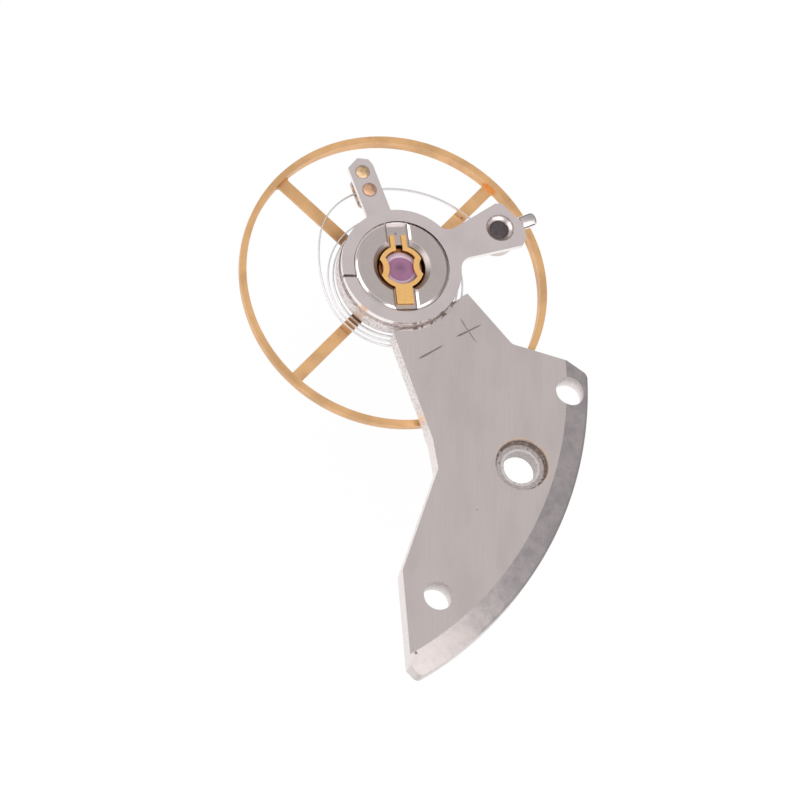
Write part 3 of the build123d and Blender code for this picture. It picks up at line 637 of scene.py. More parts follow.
def material(name, pattern, *details, **more):
    """A new material, whose shader gets what a pattern gives for each of its inputs."""
    made = bpy.data.materials.new(name)
    made.use_nodes = True
    tree = made.node_tree
    for socket, value in pattern(tree, *details, **more).items():
        feed(tree, tree.nodes["Principled BSDF"].inputs[socket], value)
    return made


# The direction of the cock's grain, from +X
GRAIN_TURN = math.radians(58)
# Four marks, in millimetres from the screw's axis. The lower end of the cock's wide bevel, which
# is painted brighter there as a highlight:
HIGHLIGHT_END = (-6.83, -4.45)
# The middle of the cap jewel's darker part, round which its painted highlight curves:
LIT_THROUGH = (STAFF[0] - 0.058, STAFF[1] - 0.116)
# Dried oil in the shock block's slot, beyond the prongs:
SLOT_SPOT = (0.480, 8.700)
# Small dark spots on the cock, a place and a radius each:
SPOTS = ((-6.516, -3.886, 0.05), (-2.390, 1.701, 0.06), (-2.160, -0.658, 0.03))


def nickel_plated_brass(tree, colours, cock):
    """Nickel-plated brass, straight-grained on emery: softly bright flats with faint streaks, pale
    frosted sides and a mottled bevel with wear, painted brighter at its lower end as a highlight.
    The screw's recess is painted darker as shade. The real grain is about 0.02 mm wide; it is drawn at
    0.07 mm so that it shows."""
    nickel, dark, frost = colours.nickel, colours.nickel_dark, colours.frost
    bore, head, steady = cock.screw_radius, cock.head_radius, cock.steady_radius
    top = heights("balance_cock")[1]
    tilt, rise = facing_up(tree), height_in(tree)
    upward = (tilt, 0.90, 0.97)
    grain = mottling(tree, (2.4, 0.07, 0.07), turn=GRAIN_TURN, seed=3)
    clouds = mottling(tree, (2.6, 0.9, 0.9), turn=GRAIN_TURN, seed=11, detail=2)
    patches = mottling(tree, (0.45, 0.40, 0.40), seed=8, detail=5, roughness=0.66)
    pits = mottling(tree, 0.09, seed=4, detail=4, roughness=0.65)
    dirt = mottling(tree, 0.10, seed=2, detail=4, roughness=0.65)
    crumbs = mottling(tree, 0.18, seed=12, detail=4, roughness=0.6)
    surface = lay(tree, nickel, shade(nickel, 0.95), (grain, 0.42, 0.80))
    surface = lay(tree, surface, shade(nickel, 0.92), (clouds, 0.38, 0.72))
    # The wide bevel lies at its own slope, mottled with wear, and its outer edge is darker.
    bevelled = all_of(tree, (tilt, 0.90, 0.94), (tilt, 0.993, 0.98))
    outer = (away_from(tree, (cock.middle_x, cock.middle_y)), cock.rim_radius - 0.11, cock.rim_radius - 0.03)
    wear_and_highlight = lay(tree, nickel, dark, (patches, 0.36, 0.66))
    wear_and_highlight = lay(tree, wear_and_highlight, shade(dark, 0.75), outer, 0.5)
    # Its lower end is painted brighter, as a highlight.
    painted_highlight = lay(tree, shade(nickel, 1.02), shade(nickel, 0.94), (patches, 0.40, 0.70))
    ragged = add(tree, "Math", away_from(tree, HIGHLIGHT_END), patches, **SUM)
    wear_and_highlight = lay(tree, wear_and_highlight, painted_highlight, (ragged, 3.45, 2.85))
    surface = lay(tree, surface, wear_and_highlight, bevelled)
    # The sides are frosted, with fine dark pits, more of them towards the staff.
    side = all_of(tree, (tilt, 0.60, 0.30))
    near = add(tree, "Math", all_of(tree, (away_from(tree, ON_STAFF), 7.0, 3.5)), 0.3, **SUM)
    surface = lay(tree, surface, lay(tree, frost, shade(frost, 0.74), (pits, 0.46, 0.62), near), side)
    # The recess is painted darker as shade, down to a painted highlight along the edge of its bore, and the holes'
    # walls are darker near the top.
    recess_shade = lay(tree, shade(nickel, 0.90), shade(nickel, 0.66), (pits, 0.40, 0.66))
    surface = lay(
        tree, surface, recess_shade, ring_about(tree, AT_SCREW, 0, head + 0.02, 0.01), (rise, top - 0.02, top - 0.04))
    lit = ring_about(tree, AT_SCREW, bore + 0.02, bore + 0.08, 0.04)
    surface = lay(tree, surface, frost, lit, (tilt, 0.7, 0.9), 0.6)
    wall = lay(tree, nickel, shade(nickel, 0.80), (pits, 0.44, 0.64))
    surface = lay(tree, surface, wall, (away_from(tree, AT_SCREW), bore + 0.01, bore - 0.01), side)
    wall = lay(tree, nickel, shade(nickel, 0.74), (pits, 0.44, 0.64))
    for hole in STEADY_HOLES:
        around = ring_about(tree, hole, steady - 0.08, steady + 0.05, 0.02)
        surface = lay(tree, surface, wall, around, side, (rise, top - 0.75, top - 0.10))
    # Bare brass worn round the screw's recess, on the side towards the staff.
    ahead = add(tree, "VectorMath", add(tree, "TexCoord", out="Object"), (0.9, 0.45, 0), **DOT)
    ahead = add(tree, "Math", ahead, MM, **OVER)
    surface = lay(
        tree, surface, colours.brass, ring_about(tree, AT_SCREW, head - 0.01, head + 0.08, 0.02),
        (ahead, -0.35, 0.25), (dirt, 0.38, 0.56), (rise, top - 0.07, top - 0.05), 0.6)
    # Oil has dried in a thin dark line along the recess's edge, where shade is painted too, and in specks in it
    # and on the neck's sides.
    band = all_of(tree, (rise, top - 0.22, top - 0.12), (rise, top - 0.05, top - 0.07))
    corner = all_of(tree, upward, (dirt, 0.38, 0.50))
    line = ring_about(tree, AT_SCREW, head - 0.08, head + 0.015, 0.02)
    oil_and_shade = all_of(tree, line, (dirt, 0.26, 0.40), any_of(tree, band, corner))
    specks = all_of(tree, ring_about(tree, AT_SCREW, bore, head - 0.02, 0.02), (dirt, 0.58, 0.68))
    neck = all_of(tree, (away_from(tree, ON_STAFF), 4.2, 2.8), (dirt, 0.60, 0.70), side)
    specks = any_of(tree, specks, neck)
    # The graver's cuts of the two marks have filled with it.
    for centre in (PLUS, MINUS):
        cuts = all_of(tree, ring_about(tree, centre, 0, 0.6, 0.02), (tilt, 0.96, 0.90), 0.42)
        specks = any_of(tree, specks, cuts)
    # It lies in crumbs along the step round the rings, and in single spots.
    shelf = cock.shelf_radius
    step = all_of(tree, ring_about(tree, ON_STAFF, shelf - 0.19, shelf - 0.06, 0.03), upward, (crumbs, 0.50, 0.58))
    dirt_and_shade = any_of(tree, oil_and_shade, specks, step)
    for x, y, reach in SPOTS:
        ragged = add(tree, "Math", away_from(tree, (x, y)), add(tree, "Math", dirt, 0.06, **TIMES), **SUM)
        dirt_and_shade = any_of(tree, dirt_and_shade, all_of(tree, (ragged, reach + 0.05, reach), upward))
    dull = any_of(tree, side, dirt_and_shade, all_of(tree, grain, 0.6))
    dull = all_of(tree, dull, rest_of(tree, bevelled, 0.6))
    # Dirt, and the painted shade along the recess's edge, are laid over the colour here.
    return {
        "Base Color": lay(tree, surface, colours.grime, dirt_and_shade, 0.85),
        "Metallic": rest_of(tree, dirt_and_shade, 0.8),
        "Roughness": add(tree, "MapRange", dull, 0, 1, 0.16, 0.48),
        "Normal": relief(
            tree, (grain, 0.0005), (all_of(tree, patches, bevelled), 0.004), (all_of(tree, pits, side), 0.006)),
    }


def ground_steel(
        tree, colours, base, dull, seed,
        rings=None, oiled=(), unpolished=None, packed=None, shaded_facing=None, under=None):
    """Hardened steel, ground flat on a fine stone and polished along its edges, so flats are
    softly bright and edges flash. Scratches are 0.01 mm wide and are drawn at 0.04 mm so that they
    show. Rings is the spacing of turning marks. Oil has dried in the rings of oiled, each a centre
    and two radii; round riveted heads these rings are painted shadow as well. Bevels inside
    unpolished, a centre, a radius and a share of the colour, are left as they were turned, and so
    is all below its level. Walls inside packed, a centre and a radius, are painted darker as shade,
    bevels that face towards shaded_facing are painted darker as shade and are duller, and sides
    below under are frosted."""
    tilt = facing_up(tree)
    clouds = mottling(tree, 0.9, seed=seed)
    scratches = mottling(tree, (1.4, 0.04, 0.04), turn=GRAIN_TURN + 0.5, seed=seed + 4, detail=2)
    surface = lay(tree, base, shade(base, 0.93), (clouds, 0.40, 0.75))
    surface = lay(tree, surface, shade(base, 0.88), (scratches, 0.64, 0.84))
    raised = [(scratches, 0.0006)]
    if rings:
        marks = turned_rings(tree, rings, seed)
        surface = lay(tree, surface, colours.steel_dark, (marks, 0.50, 0.75), 0.22)
        raised.insert(0, (marks, 0.0012))
    # Each row is a place and how dull the steel is there.
    side = all_of(tree, (tilt, 0.5, 0.2))
    places = [(side, 0.8)]
    polished = all_of(tree, (tilt, 0.96, 0.86))
    if unpolished:
        centre, reach, share, level = unpolished
        outside = all_of(
            tree, (away_from(tree, centre), reach - 0.02, reach + 0.02),
            (height_in(tree), level - 0.01, level + 0.01))
        turned = all_of(tree, polished, rest_of(tree, outside))
        surface = lay(tree, surface, shade(base, share), turned)
        polished = all_of(tree, polished, outside)
        places.append((turned, 1.4))
    surface = lay(tree, surface, colours.polished, polished)
    # Bevels that face one way are painted darker as shade, and made duller.
    if shaded_facing:
        facing = add(tree, "VectorMath", add(tree, "NewGeometry", out="Normal"), (*shaded_facing, 0), **DOT)
        facing_shade = all_of(tree, (facing, 0.42, 0.62), polished)
        surface = lay(tree, surface, shade(base, 0.85), facing_shade, 0.8)
        places.append((facing_shade, 1.6))
    if under is not None:
        low = all_of(tree, side, (height_in(tree), under, under - 0.03))
        grit = (mottling(tree, 0.08, seed=seed + 7), 0.50, 0.68)
        frosted = lay(tree, colours.frosted_steel, shade(colours.frosted_steel, 0.78), grit)
        surface = lay(tree, surface, frosted, low)
        places.append((low, 1.3))
    # Walls in the narrow gap are painted darker as shade.
    if packed:
        centre, reach = packed
        gap = all_of(tree, side, (away_from(tree, centre), reach + 0.01, reach - 0.01))
        surface = lay(tree, surface, shade(base, 0.5), gap)
        places.append((gap, 1.5))
    metallic = 1.0
    if oiled:
        dirt = (mottling(tree, 0.09, seed=seed + 9, detail=4, roughness=0.65), 0.32, 0.48)
        oil_and_shade = any_of(tree, *[all_of(tree, ring_about(tree, *ring, 0.012), dirt) for ring in oiled])
        surface = lay(tree, surface, colours.grime, oil_and_shade, 0.75)
        metallic = rest_of(tree, oil_and_shade, 0.7)
        places.append((oil_and_shade,))
    ground = all_of(tree, rest_of(tree, polished), add(tree, "Math", clouds, 0.4, **SUM))
    rough = any_of(tree, ground, *[all_of(tree, *place) for place in places])
    return {
        "Base Color": surface,
        "Metallic": metallic,
        "Roughness": add(tree, "MapRange", rough, 0, 1, 0.10, dull),
        "Normal": relief(tree, *raised),
    }


def gilt_bronze(tree, colours):
    """Gilt beryllium bronze, turned and lapped: warm, softly bright, with red tarnish here and
    there and a few dark pits where the gilding has gone."""
    clouds = mottling(tree, 1.1, seed=1)
    patches = mottling(tree, 0.8, seed=9, detail=5, roughness=0.65)
    pitted = all_of(tree, (mottling(tree, 0.11, seed=6, detail=4, roughness=0.6), 0.69, 0.75))
    marks = turned_rings(tree, 0.03)
    surface = lay(tree, colours.gilt, shade(colours.gilt, 0.78), (clouds, 0.38, 0.66))
    surface = lay(tree, surface, shade(colours.gilt, 0.88), (marks, 0.50, 0.80))
    surface = lay(tree, surface, colours.gilt_red, (patches, 0.52, 0.85), 0.4)
    # Under the cock the spokes are painted darker brown as shade.
    surface = lay(tree, surface, shade(colours.gilt_red, 0.55), (away_from(tree, ON_STAFF), 3.1, 2.0), 0.75)
    side = all_of(tree, (facing_up(tree), 0.6, 0.3), 0.9)
    return {
        "Base Color": lay(tree, surface, colours.grime, pitted),
        "Metallic": rest_of(tree, pitted, 0.7),
        "Roughness": add(tree, "MapRange", any_of(tree, clouds, pitted, side), 0, 1, 0.20, 0.42),
        "Normal": relief(tree, (marks, 0.0010), (rest_of(tree, pitted), 0.006)),
    }


def plain_metal(tree, base, dull, seed, mottled=0.86):
    """Small turned or rolled metal: even colour with slight clouding and fine marks."""
    clouds = mottling(tree, 0.12, seed=seed, detail=4)
    return {
        "Base Color": lay(tree, base, shade(base, mottled), (clouds, 0.42, 0.72)),
        "Metallic": 1.0,
        "Roughness": add(tree, "MapRange", clouds, 0, 1, dull - 0.05, dull + 0.10),
        "Normal": relief(tree, (clouds, 0.002)),
    }


def tarnished_boot(tree, colours):
    """The boot: its riveted head is bright copper-coloured brass, its body is dulled and pale."""
    top = heights("regulator")[1]
    clouds = mottling(tree, 0.12, seed=9, detail=4)
    bright = lay(tree, colours.copper, shade(colours.copper, 0.62), (clouds, 0.44, 0.70))
    pale = lay(tree, colours.boot, shade(colours.boot, 0.82), (clouds, 0.40, 0.70))
    return {
        "Base Color": lay(tree, pale, bright, (height_in(tree), top - 0.01, top + 0.005)),
        "Metallic": 1.0,
        "Roughness": add(tree, "MapRange", clouds, 0, 1, 0.22, 0.40),
        "Normal": relief(tree, (clouds, 0.004)),
    }


def synthetic_ruby(tree, colours):
    """Polished synthetic ruby: clear violet-pink glass with a hard, clean gloss. Its index is 1.76.
    Its bevels carry a painted highlight, the cap jewel is painted darker over the hole jewel as shade, and a
    painted crescent of light lies under its near edge."""
    ruby, rim = colours.ruby, colours.ruby_rim
    away = away_from(tree, ON_STAFF)
    clouds = mottling(tree, 0.35, seed=7, detail=2)
    # Painted shade darkens the middle, over the hole jewel.
    jewel_shade_and_light = lay(tree, ruby, shade(ruby, 0.50), (away, 0.30, 0.0))
    jewel_shade_and_light = lay(tree, jewel_shade_and_light, shade(ruby, 0.86), (clouds, 0.4, 0.8))
    jewel_shade_and_light = lay(tree, jewel_shade_and_light, rim, (facing_up(tree), 0.98, 0.92), 0.6)
    # A painted highlight: light from the far side gathers in a crescent under the near side's edge.
    crescent = (away_from(tree, LIT_THROUGH), 0.48, 0.54)
    jewel_shade_and_light = lay(tree, jewel_shade_and_light, rim, crescent, (away, 0.62, 0.60), 0.9)
    return {"Base Color": jewel_shade_and_light, "Roughness": 0.06, "IOR": 1.76, "Transmission Weight": 0.25}


def white_paper(tree):
    """Matt white paper. To the camera it is white apart from the object's soft shadow, and
    polished metal and jewels show it white too, as far as the sheet reaches. Beyond it lies a
    grey bench, which the camera doesn't see."""
    seen, glossy, through = [
        add(tree, "LightPath", out=f"Is {kind} Ray") for kind in ("Camera", "Glossy", "Transmission")]
    sheet = all_of(tree, (away_from(tree, ON_STAFF), 24, 14))
    shining = all_of(tree, any_of(tree, seen, all_of(tree, any_of(tree, glossy, through), sheet)), 0.9)
    glow = add(tree, "Emission", (1, 1, 1), 1.0)
    both = add(tree, "MixShader", shining, tree.nodes["Principled BSDF"].outputs[0], glow)
    feed(tree, tree.nodes["Material Output"].inputs["Surface"], both)
    tone = lay(tree, linear("5E5C5C"), linear("FAFAFA"), any_of(tree, seen, sheet))
    return {"Base Color": tone, "Roughness": 0.9}


# Every finish by its short name
FINISHES = {}


def finishes(context):
    """All finishes, made when the first piece asks for them."""
    if FINISHES:
        return FINISHES
    colours = context.scene.balance_colours
    cock, arms = in_mm(context.scene.balance_cock), in_mm(context.scene.balance_arms)
    stud = about_staff(arms.stud_distance, arms.carrier_angle)
    sink = arms.stud_radius + arms.stud_sink
    slit = about_staff((arms.lip_bore + arms.carrier_radius) / 2, arms.slit_angle)
    pins = [about_staff(place, arms.regulator_angle) for place in (arms.pin_distance, arms.boot_distance)]
    # Each row: the name, the colour, the roughness of its dullest places, a seed, and its own details.
    steels = {
        "steel": ("Steel, ground and polished", colours.steel, 0.28, 1, {}),
        "carrier": ("Steel, ground, oiled round the stud", colours.steel, 0.28, 1, {
            "oiled": [
                (stud, sink - 0.035, sink + 0.015),
                (stud, arms.stud_radius - 0.01, arms.stud_radius + 0.035),
            ],
            "unpolished": (stud, sink + 0.03, 1.15, 0),
            # The slit's walls are painted darker as shade.
            "packed": (slit, 0.19),
            "under": heights("stud_carrier")[0] + arms.boss_height,
        }),
        "regulator": ("Steel, ground, oiled round the pins", colours.steel, 0.28, 3, {
            # Oil has dried round the riveted heads, and the dark rings there are painted shadow too, where the
            # heads meet the plate.
            "oiled": [(pin, arms.head_radius - 0.01, arms.head_radius + 0.02) for pin in pins],
        }),
        "block": ("Steel, finely turned", colours.block, 0.32, 6, {
            "rings": 0.035,
            "oiled": [(SLOT_SPOT, 0, 0.05)],
            "unpolished": (ON_STAFF, 1.0, 0.86, heights("shock_block")[1] - 0.085),
            # Bevels that face this way are painted darker as shade.
            "shaded_facing": (0.88, -0.47),
        }),
    }
    # Each row: the name, the colour, the roughness, a seed, and the darkest share of its colour.
    # The lyre is bright and even, and the cup under it is painted dark brown as the shade in the
    # gaps round the lyre. Riveted brass is blotched from the hammer and handling, the stud was
    # blackened before it was set, and rolling leaves the hairspring almost even.
    plain = {
        "lyre": ("Gilt spring steel, stamped", colours.gilt_spring, 0.30, 2, 0.9),
        "cup": ("Gilt brass, turned and darkened", colours.gilt_brown, 0.35, 7, 0.7),
        "brass": ("Brass, turned and riveted", colours.brass, 0.30, 4, 0.62),
        "stud": ("Steel, darkened", colours.stud, 0.40, 5, 0.7),
        "alloy": ("Spring alloy, rolled", colours.alloy, 0.30, 8, 0.9),
    }
    for short, (name, base, dull, seed, more) in steels.items():
        FINISHES[short] = material(name, ground_steel, colours, base, dull, seed, **more)
    for short, (name, *details) in plain.items():
        FINISHES[short] = material(name, plain_metal, *details)
    FINISHES["nickel"] = material("Nickel-plated brass, straight-grained", nickel_plated_brass, colours, cock)
    FINISHES["gilt"] = material("Gilt bronze, turned", gilt_bronze, colours)
    FINISHES["copper"] = material("Copper brass, turned and riveted", tarnished_boot, colours)
    FINISHES["ruby"] = material("Synthetic ruby, polished", synthetic_ruby, colours)
    return FINISHES


# Pieces


def mark(name, middle, along, top, sizes):
    """A V-shaped graver's cut, as the tool that makes it. It deepens over a run at both ends, and
    the tool stands proud of the plate."""
    reach, run, proud = sizes.mark_length / 2, 0.16, 0.02
    wide = sizes.mark_width / 2 * (1 + proud / sizes.mark_depth)
    tip = ((0, top - 0.002), (0, top + proud))
    deepest = ((0, top - sizes.mark_depth), (wide, top + proud), (-wide, top + proud))
    drawn = bmesh.new()
    first, left, right, last = [
        [drawn.verts.new((x, y, height)) for y, height in corners]
        for x, corners in ((-reach, tip), (run - reach, deepest), (reach - run, deepest), (reach, tip))]
    for a, b in ((0, 1), (1, 2), (2, 0)):
        drawn.faces.new((left[a], left[b], right[b], right[a]))
    for (low, high), near in ((first, left), (last, right)):
        drawn.faces.new((low, near[0], near[1]))
        drawn.faces.new((low, near[0], near[2]))
        drawn.faces.new((low, near[1], high))
        drawn.faces.new((low, near[2], high))
        drawn.faces.new((high, near[1], near[2]))
    return moved(from_bmesh(name, drawn), (*middle, 0), math.radians(along))


class BALANCE_OT_cock(bpy.types.Operator):
    """Builds the cock: plate, bevels, holes, recess, shelf and the two engraved marks"""

    bl_idname = "balance.cock"
    bl_label = "Cock"
    bl_options = {"REGISTER", "UNDO"}

    def execute(self, context):
        finish, size = finishes(context), in_mm(context.scene.balance_cock)
        bottom, top = heights("balance_cock")
        past = 0.5
        below, above = bottom - past, top + past
        plate = prism("cock_plate", self.outline(size), bottom, top)
        join(plate, rod(size.boss_radius, bottom, top, STAFF))
        # The wide bevel is turned off by a cone.
        fall = size.bevel_drop / size.bevel_width
        inner, outer = size.rim_radius - size.bevel_width - past, size.rim_radius + past
        section = [
            (inner, top + fall * past),
            (outer, top - fall * (size.bevel_width + past)),
            (outer, above),
            (inner, above),
        ]
        cut(
            plate,
            moved(lathe("bevel", section, 720), (size.middle_x, size.middle_y, 0)),
            rod(size.sink_radius, below, bottom + size.sink_depth, STAFF, 360),
            rod(size.shelf_radius, top - size.shelf_depth, above, STAFF, 180),
            rod(size.seat_radius, below, above, STAFF),
            rod(size.screw_radius, below, above),
            rod(size.head_radius, top - size.head_depth, above),
            *[rod(size.steady_radius, below, above, centre, 96) for centre in STEADY_HOLES],
        )
        soften(plate, size.edge)
        cut(plate, *[mark("mark", centre, along, top, size) for centre, along in STROKES])
        done(plate, finish["nickel"], "balance_cock", AT_SCREW, smooth=10)
        return {"FINISHED"}

    def outline(self, size):
        """The plate seen from above, from tip to corner and back along the round side."""
        corners = [
            (-6.733, -4.594, size.tip_round), (-6.848, -4.112, 0.15), (-5.419, -1.300, 0.1),
            (-2.531, 1.132, size.waist_fillet), (-2.150, 2.100, 0.3), (-1.640, 4.550, 0.3),
            (-1.368, 5.791, 0), (1.558, 5.882, 0), (1.950, 3.710, size.waist_fillet),
            (3.283, 2.402, 0.12), (3.714, 1.732, size.corner_round),
        ]
        points, radii = [corner[:2] for corner in corners], [corner[2] for corner in corners]
        start, end = [math.atan2(y - size.middle_y, x - size.middle_x) for x, y in (points[-1], points[0])]
        # The round side's first and last points stay clear of the two rounded corners.
        steps, clear = 90, 3
        for step in range(clear, steps + 1 - clear):
            x, y = on_circle(size.rim_radius, start + (end - start) * step / steps)
            points.append((size.middle_x + x, size.middle_y + y))
            radii.append(0)
        return rounded(points, radii)


class BALANCE_OT_setting(bpy.types.Operator):
    """Builds the shock setting: block, jewel cup, two jewels and the lyre spring"""

    bl_idname = "balance.setting"
    bl_label = "Shock setting"
    bl_options = {"REGISTER", "UNDO"}

    def execute(self, context):
        finish, size = finishes(context), in_mm(context.scene.balance_setting)
        self.block(in_mm(context.scene.balance_cock), size, finish)
        self.jewels(size, finish)
        self.lyre(size, finish)
        return {"FINISHED"}

    def block(self, cock, size, finish):
        """The turned block with its slot."""
        foot, top = heights("shock_block")
        shelf = heights("balance_cock")[1] - cock.shelf_depth
        floor = foot + size.floor_rise
        lip = top - size.lip_height
        block = lathe("block", [
            (size.opening_radius, foot),
            (cock.seat_radius, foot),
            (cock.seat_radius, shelf),
            (size.block_radius, shelf),
            (size.block_radius, lip - size.lip_radius + size.block_radius),
            (size.lip_radius, lip),
            (size.lip_radius, top - size.chamfer),
            (size.lip_radius - size.chamfer, top),
            (size.bore_radius + size.bore_chamfer, top),
            (size.bore_radius, top - size.bore_chamfer),
            (size.bore_radius, floor + size.cone),
            (size.bore_radius - size.cone, floor),
            (size.opening_radius, floor),
        ])
        soften(block, 0.008)
        # The slot's floor lies just under the lyre spring and rises at both ends.
        low, rise = heights("shock_spring")[0] - 0.02, 0.12
        half, edge, far, past = size.slot_width / 2, size.slot_edge, size.lip_radius, 2
        profile = [
            (far, low + rise), (past, low + rise), (past, top + PAST), (-past, top + PAST), (-past, low + rise),
            (-far, low + rise), (rise - far, low), (far - rise, low),
        ]
        tools = [moved(prism("slot", profile, -half, half), turn=math.pi / 2, axis="X")]
        # Its long upper edges are bevelled by two bars that lie on their corners.
        for side in (-half, half):
            bar = moved(prism("bar", slab(-past, past, -edge, edge), -edge, edge), turn=math.pi / 4, axis="X")
            tools.append(moved(bar, (0, side, top)))
        cut(block, *[moved(tool, turn=size.lyre_angle) for tool in tools])
        done(block, finish["block"], "shock_block")

    def jewels(self, size, finish):
        """The turned cup with the pierced hole jewel below and the cap jewel above."""
        low, high = heights("jewel_setting")
        cap_low, cap_high = heights("cap_jewel")
        hole_low, hole_high = heights("hole_jewel")
        cup, cap, hole = widest("jewel_setting"), widest("cap_jewel"), widest("hole_jewel")
        ledge = hole - 0.03
        turned = lathe("jewel_cup", [
            (ledge, low),
            (cup - size.cone, low),
            (cup, low + size.cone),
            (cup, high),
            (cap, high),
            (cap, cap_low),
            (hole, cap_low),
            (hole, hole_low),
            (ledge, hole_low),
        ])
        done(soften(turned, 0.015), finish["cup"], "jewel_setting")
        # The hole jewel's oil sink is a hollow in two cones.
        turned = lathe("hole_jewel_polished", [
            (size.jewel_hole, hole_low),
            (hole, hole_low),
            (hole, hole_high),
            (0.22, hole_high),
            (0.15, hole_high - 0.035),
            (size.jewel_hole, hole_high - 0.06),
        ])
        done(soften(turned, 0.012), finish["ruby"], "hole_jewel", smooth=40)
        turned = lathe("cap_jewel_polished", [
            (0, cap_low),
            (0, cap_high),
            (cap - size.jewel_bevel, cap_high),
            (cap, cap_high - size.jewel_bevel_drop),
            (cap, cap_low),
        ])
        done(soften(turned, 0.012, segments=2, least=20), finish["ruby"], "cap_jewel", smooth=12)

    def lyre(self, size, finish):
        """The lyre spring: a waisted band, open between its two prongs, with a tab opposite them."""
        low, high = heights("shock_spring")
        band = rod(size.lyre_radius, low, high, name="lyre")
        window = rod(size.lyre_radius - size.lyre_band, low - PAST, high + PAST)
        for side in (-size.lyre_dent_place, size.lyre_dent_place):
            cut(band, rod(size.lyre_dent, low - PAST, high + PAST, (0, side), 96))
            cut(window, rod(size.lyre_dent + size.lyre_waist, low - 2 * PAST, high + 2 * PAST, (0, side), 96))
        # Prongs and tab start inside the band, and the mouth between the prongs runs into the window.
        root = size.lyre_radius - size.lyre_band / 2
        start, inside = root - 0.1, root - 0.35
        half, tab = size.prong_gap / 2, size.tab_width / 2
        wide = half + size.prong_width
        for near, far in ((-wide, -half), (half, wide)):
            join(band, prism("prong", slab(start, size.prong_end, near, far), low, high))
        join(band, prism("tab", slab(-size.tab_end, -start, -tab, tab), low, high))
        mouth = slab(inside, size.prong_end + PAST, -half, half)
        cut(band, window, prism("mouth", mouth, low - PAST, high + PAST))
        done(soften(band, 0.018, segments=2), finish["lyre"], "shock_spring", turn=size.lyre_angle)


def arm(name, ring, fillet, sides, bottom, top):
    """A ring's disc with one arm along +X, whose upper and lower sides leave it in fillets."""
    outline, steps = [], 14
    for mirror, corners in zip((1, -1), sides):
        start, end = Vector(corners[0]), Vector(corners[1])
        along = (end - start).normalized()
        out = Vector((-along.y, along.x)) * mirror
        base = start + out * fillet
        # The fillet's middle lies a fillet off the side and a fillet outside the ring.
        ahead = base.dot(along)
        run = -ahead + math.sqrt(ahead ** 2 - base.length_squared + (ring + fillet) ** 2)
        middle = base + along * run
        inward, down = -middle.normalized() * fillet, -out * fillet
        arc = swept(middle, inward, -inward.angle_signed(down), steps)
        part = arc + [tuple(corner) for corner in corners[1:]]
        outline = part + outline if mirror == 1 else outline + part[::-1]
    # The arm's inner end lies inside the disc.
    outline.append((0.2, 0))
    return join(prism(name, outline, bottom, top), rod(ring, bottom, top))


def riveted(radius, low, high, steps=12):
    """The half section of a riveted head, from its rim to its crown, which is nearly flat."""
    shares = [step / steps for step in range(steps, 0, -1)]
    return [(radius * share, low + (high - low) * (1 - share ** 2.6)) for share in shares] + [(0, high)]


class BALANCE_OT_regulator(bpy.types.Operator):
    """Builds the regulator with its curb pin and the turning boot"""

    bl_idname = "balance.regulator"
    bl_label = "Regulator"
    bl_options = {"REGISTER", "UNDO"}

    def execute(self, context):
        finish, size = finishes(context), in_mm(context.scene.balance_arms)
        bottom, top = heights("regulator")
        turn, shank, head, collar = size.regulator_angle, size.shank_radius, size.head_radius, size.boot_radius
        half, reach = size.regulator_width / 2, size.regulator_reach
        # The point's far side is broken off blunt.
        blunt = (reach - 0.14, 0.08 - half)
        upper = [(size.ring_bore, half), (reach - size.regulator_point, half), (reach, 0)]
        lower = [(size.ring_bore, -half), (reach - size.regulator_heel, -half), blunt]
        plate = arm("regulator_arm", size.regulator_radius, size.regulator_fillet, (upper, lower), bottom, top)
        cut(
            plate,
            rod(size.ring_bore, bottom - PAST, top + PAST),
            rod(shank, bottom - PAST, top + PAST, (size.pin_distance, 0), 48),
            rod(shank + 0.03, bottom - PAST, top + PAST, (size.boot_distance, 0), 48),
        )
        done(soften(plate, size.plate_edge), finish["regulator"], "regulator", turn=turn)

        low, high = heights("curb_pin")
        pin = lathe("curb_pin_riveted", [(0, low), (shank, low), (shank, top), *riveted(head, top, high)], 64)
        offset = (*about_staff(size.pin_distance, turn), 0)
        done(soften(pin, 0.006, least=50), finish["brass"], "curb_pin", offset, smooth=40)

        # The boot's collar stands as far over the strip as the strip is high.
        low, high = heights("curb_boot")
        strip_low, strip_high = heights("hairspring")
        foot, over, play = low + 0.06, 2 * strip_high - strip_low, 0.015
        body = lathe("curb_boot_turned", [
            (0, low),
            (collar, low),
            (collar, foot),
            (shank, foot),
            (shank, over),
            (collar, over),
            (collar, bottom - play),
            (shank, bottom - play),
            (shank, top + play),
            *riveted(head, top + play, high),
        ], 64)
        # Its shoe reaches under the strip, past the pin, with fully rounded ends.
        half, run = 0.18, size.pin_distance - size.boot_distance
        shoe = rounded(slab(-half, run + half, -half, half), [half * 0.999] * 4, 16)
        join(body, prism("shoe", shoe, low, foot))
        offset = (*about_staff(size.boot_distance, turn), 0)
        done(soften(body, 0.006, least=50), finish["copper"], "curb_boot", offset, turn, 40)
        return {"FINISHED"}


def wedge_pin(name, axis):
    """A short taper pin that wedges the strip, laid down about an axis."""
    near, middle, far = PEG_RADIUS - 0.005, PEG_RADIUS - 0.002, PEG_RADIUS - 0.007
    section = [(0, -0.3), (near, -0.3), (PEG_RADIUS, -0.27), (middle, 0.27), (far, 0.3), (0, 0.3)]
    return moved(lathe(name, section, 24), turn=math.pi / 2, axis=axis)


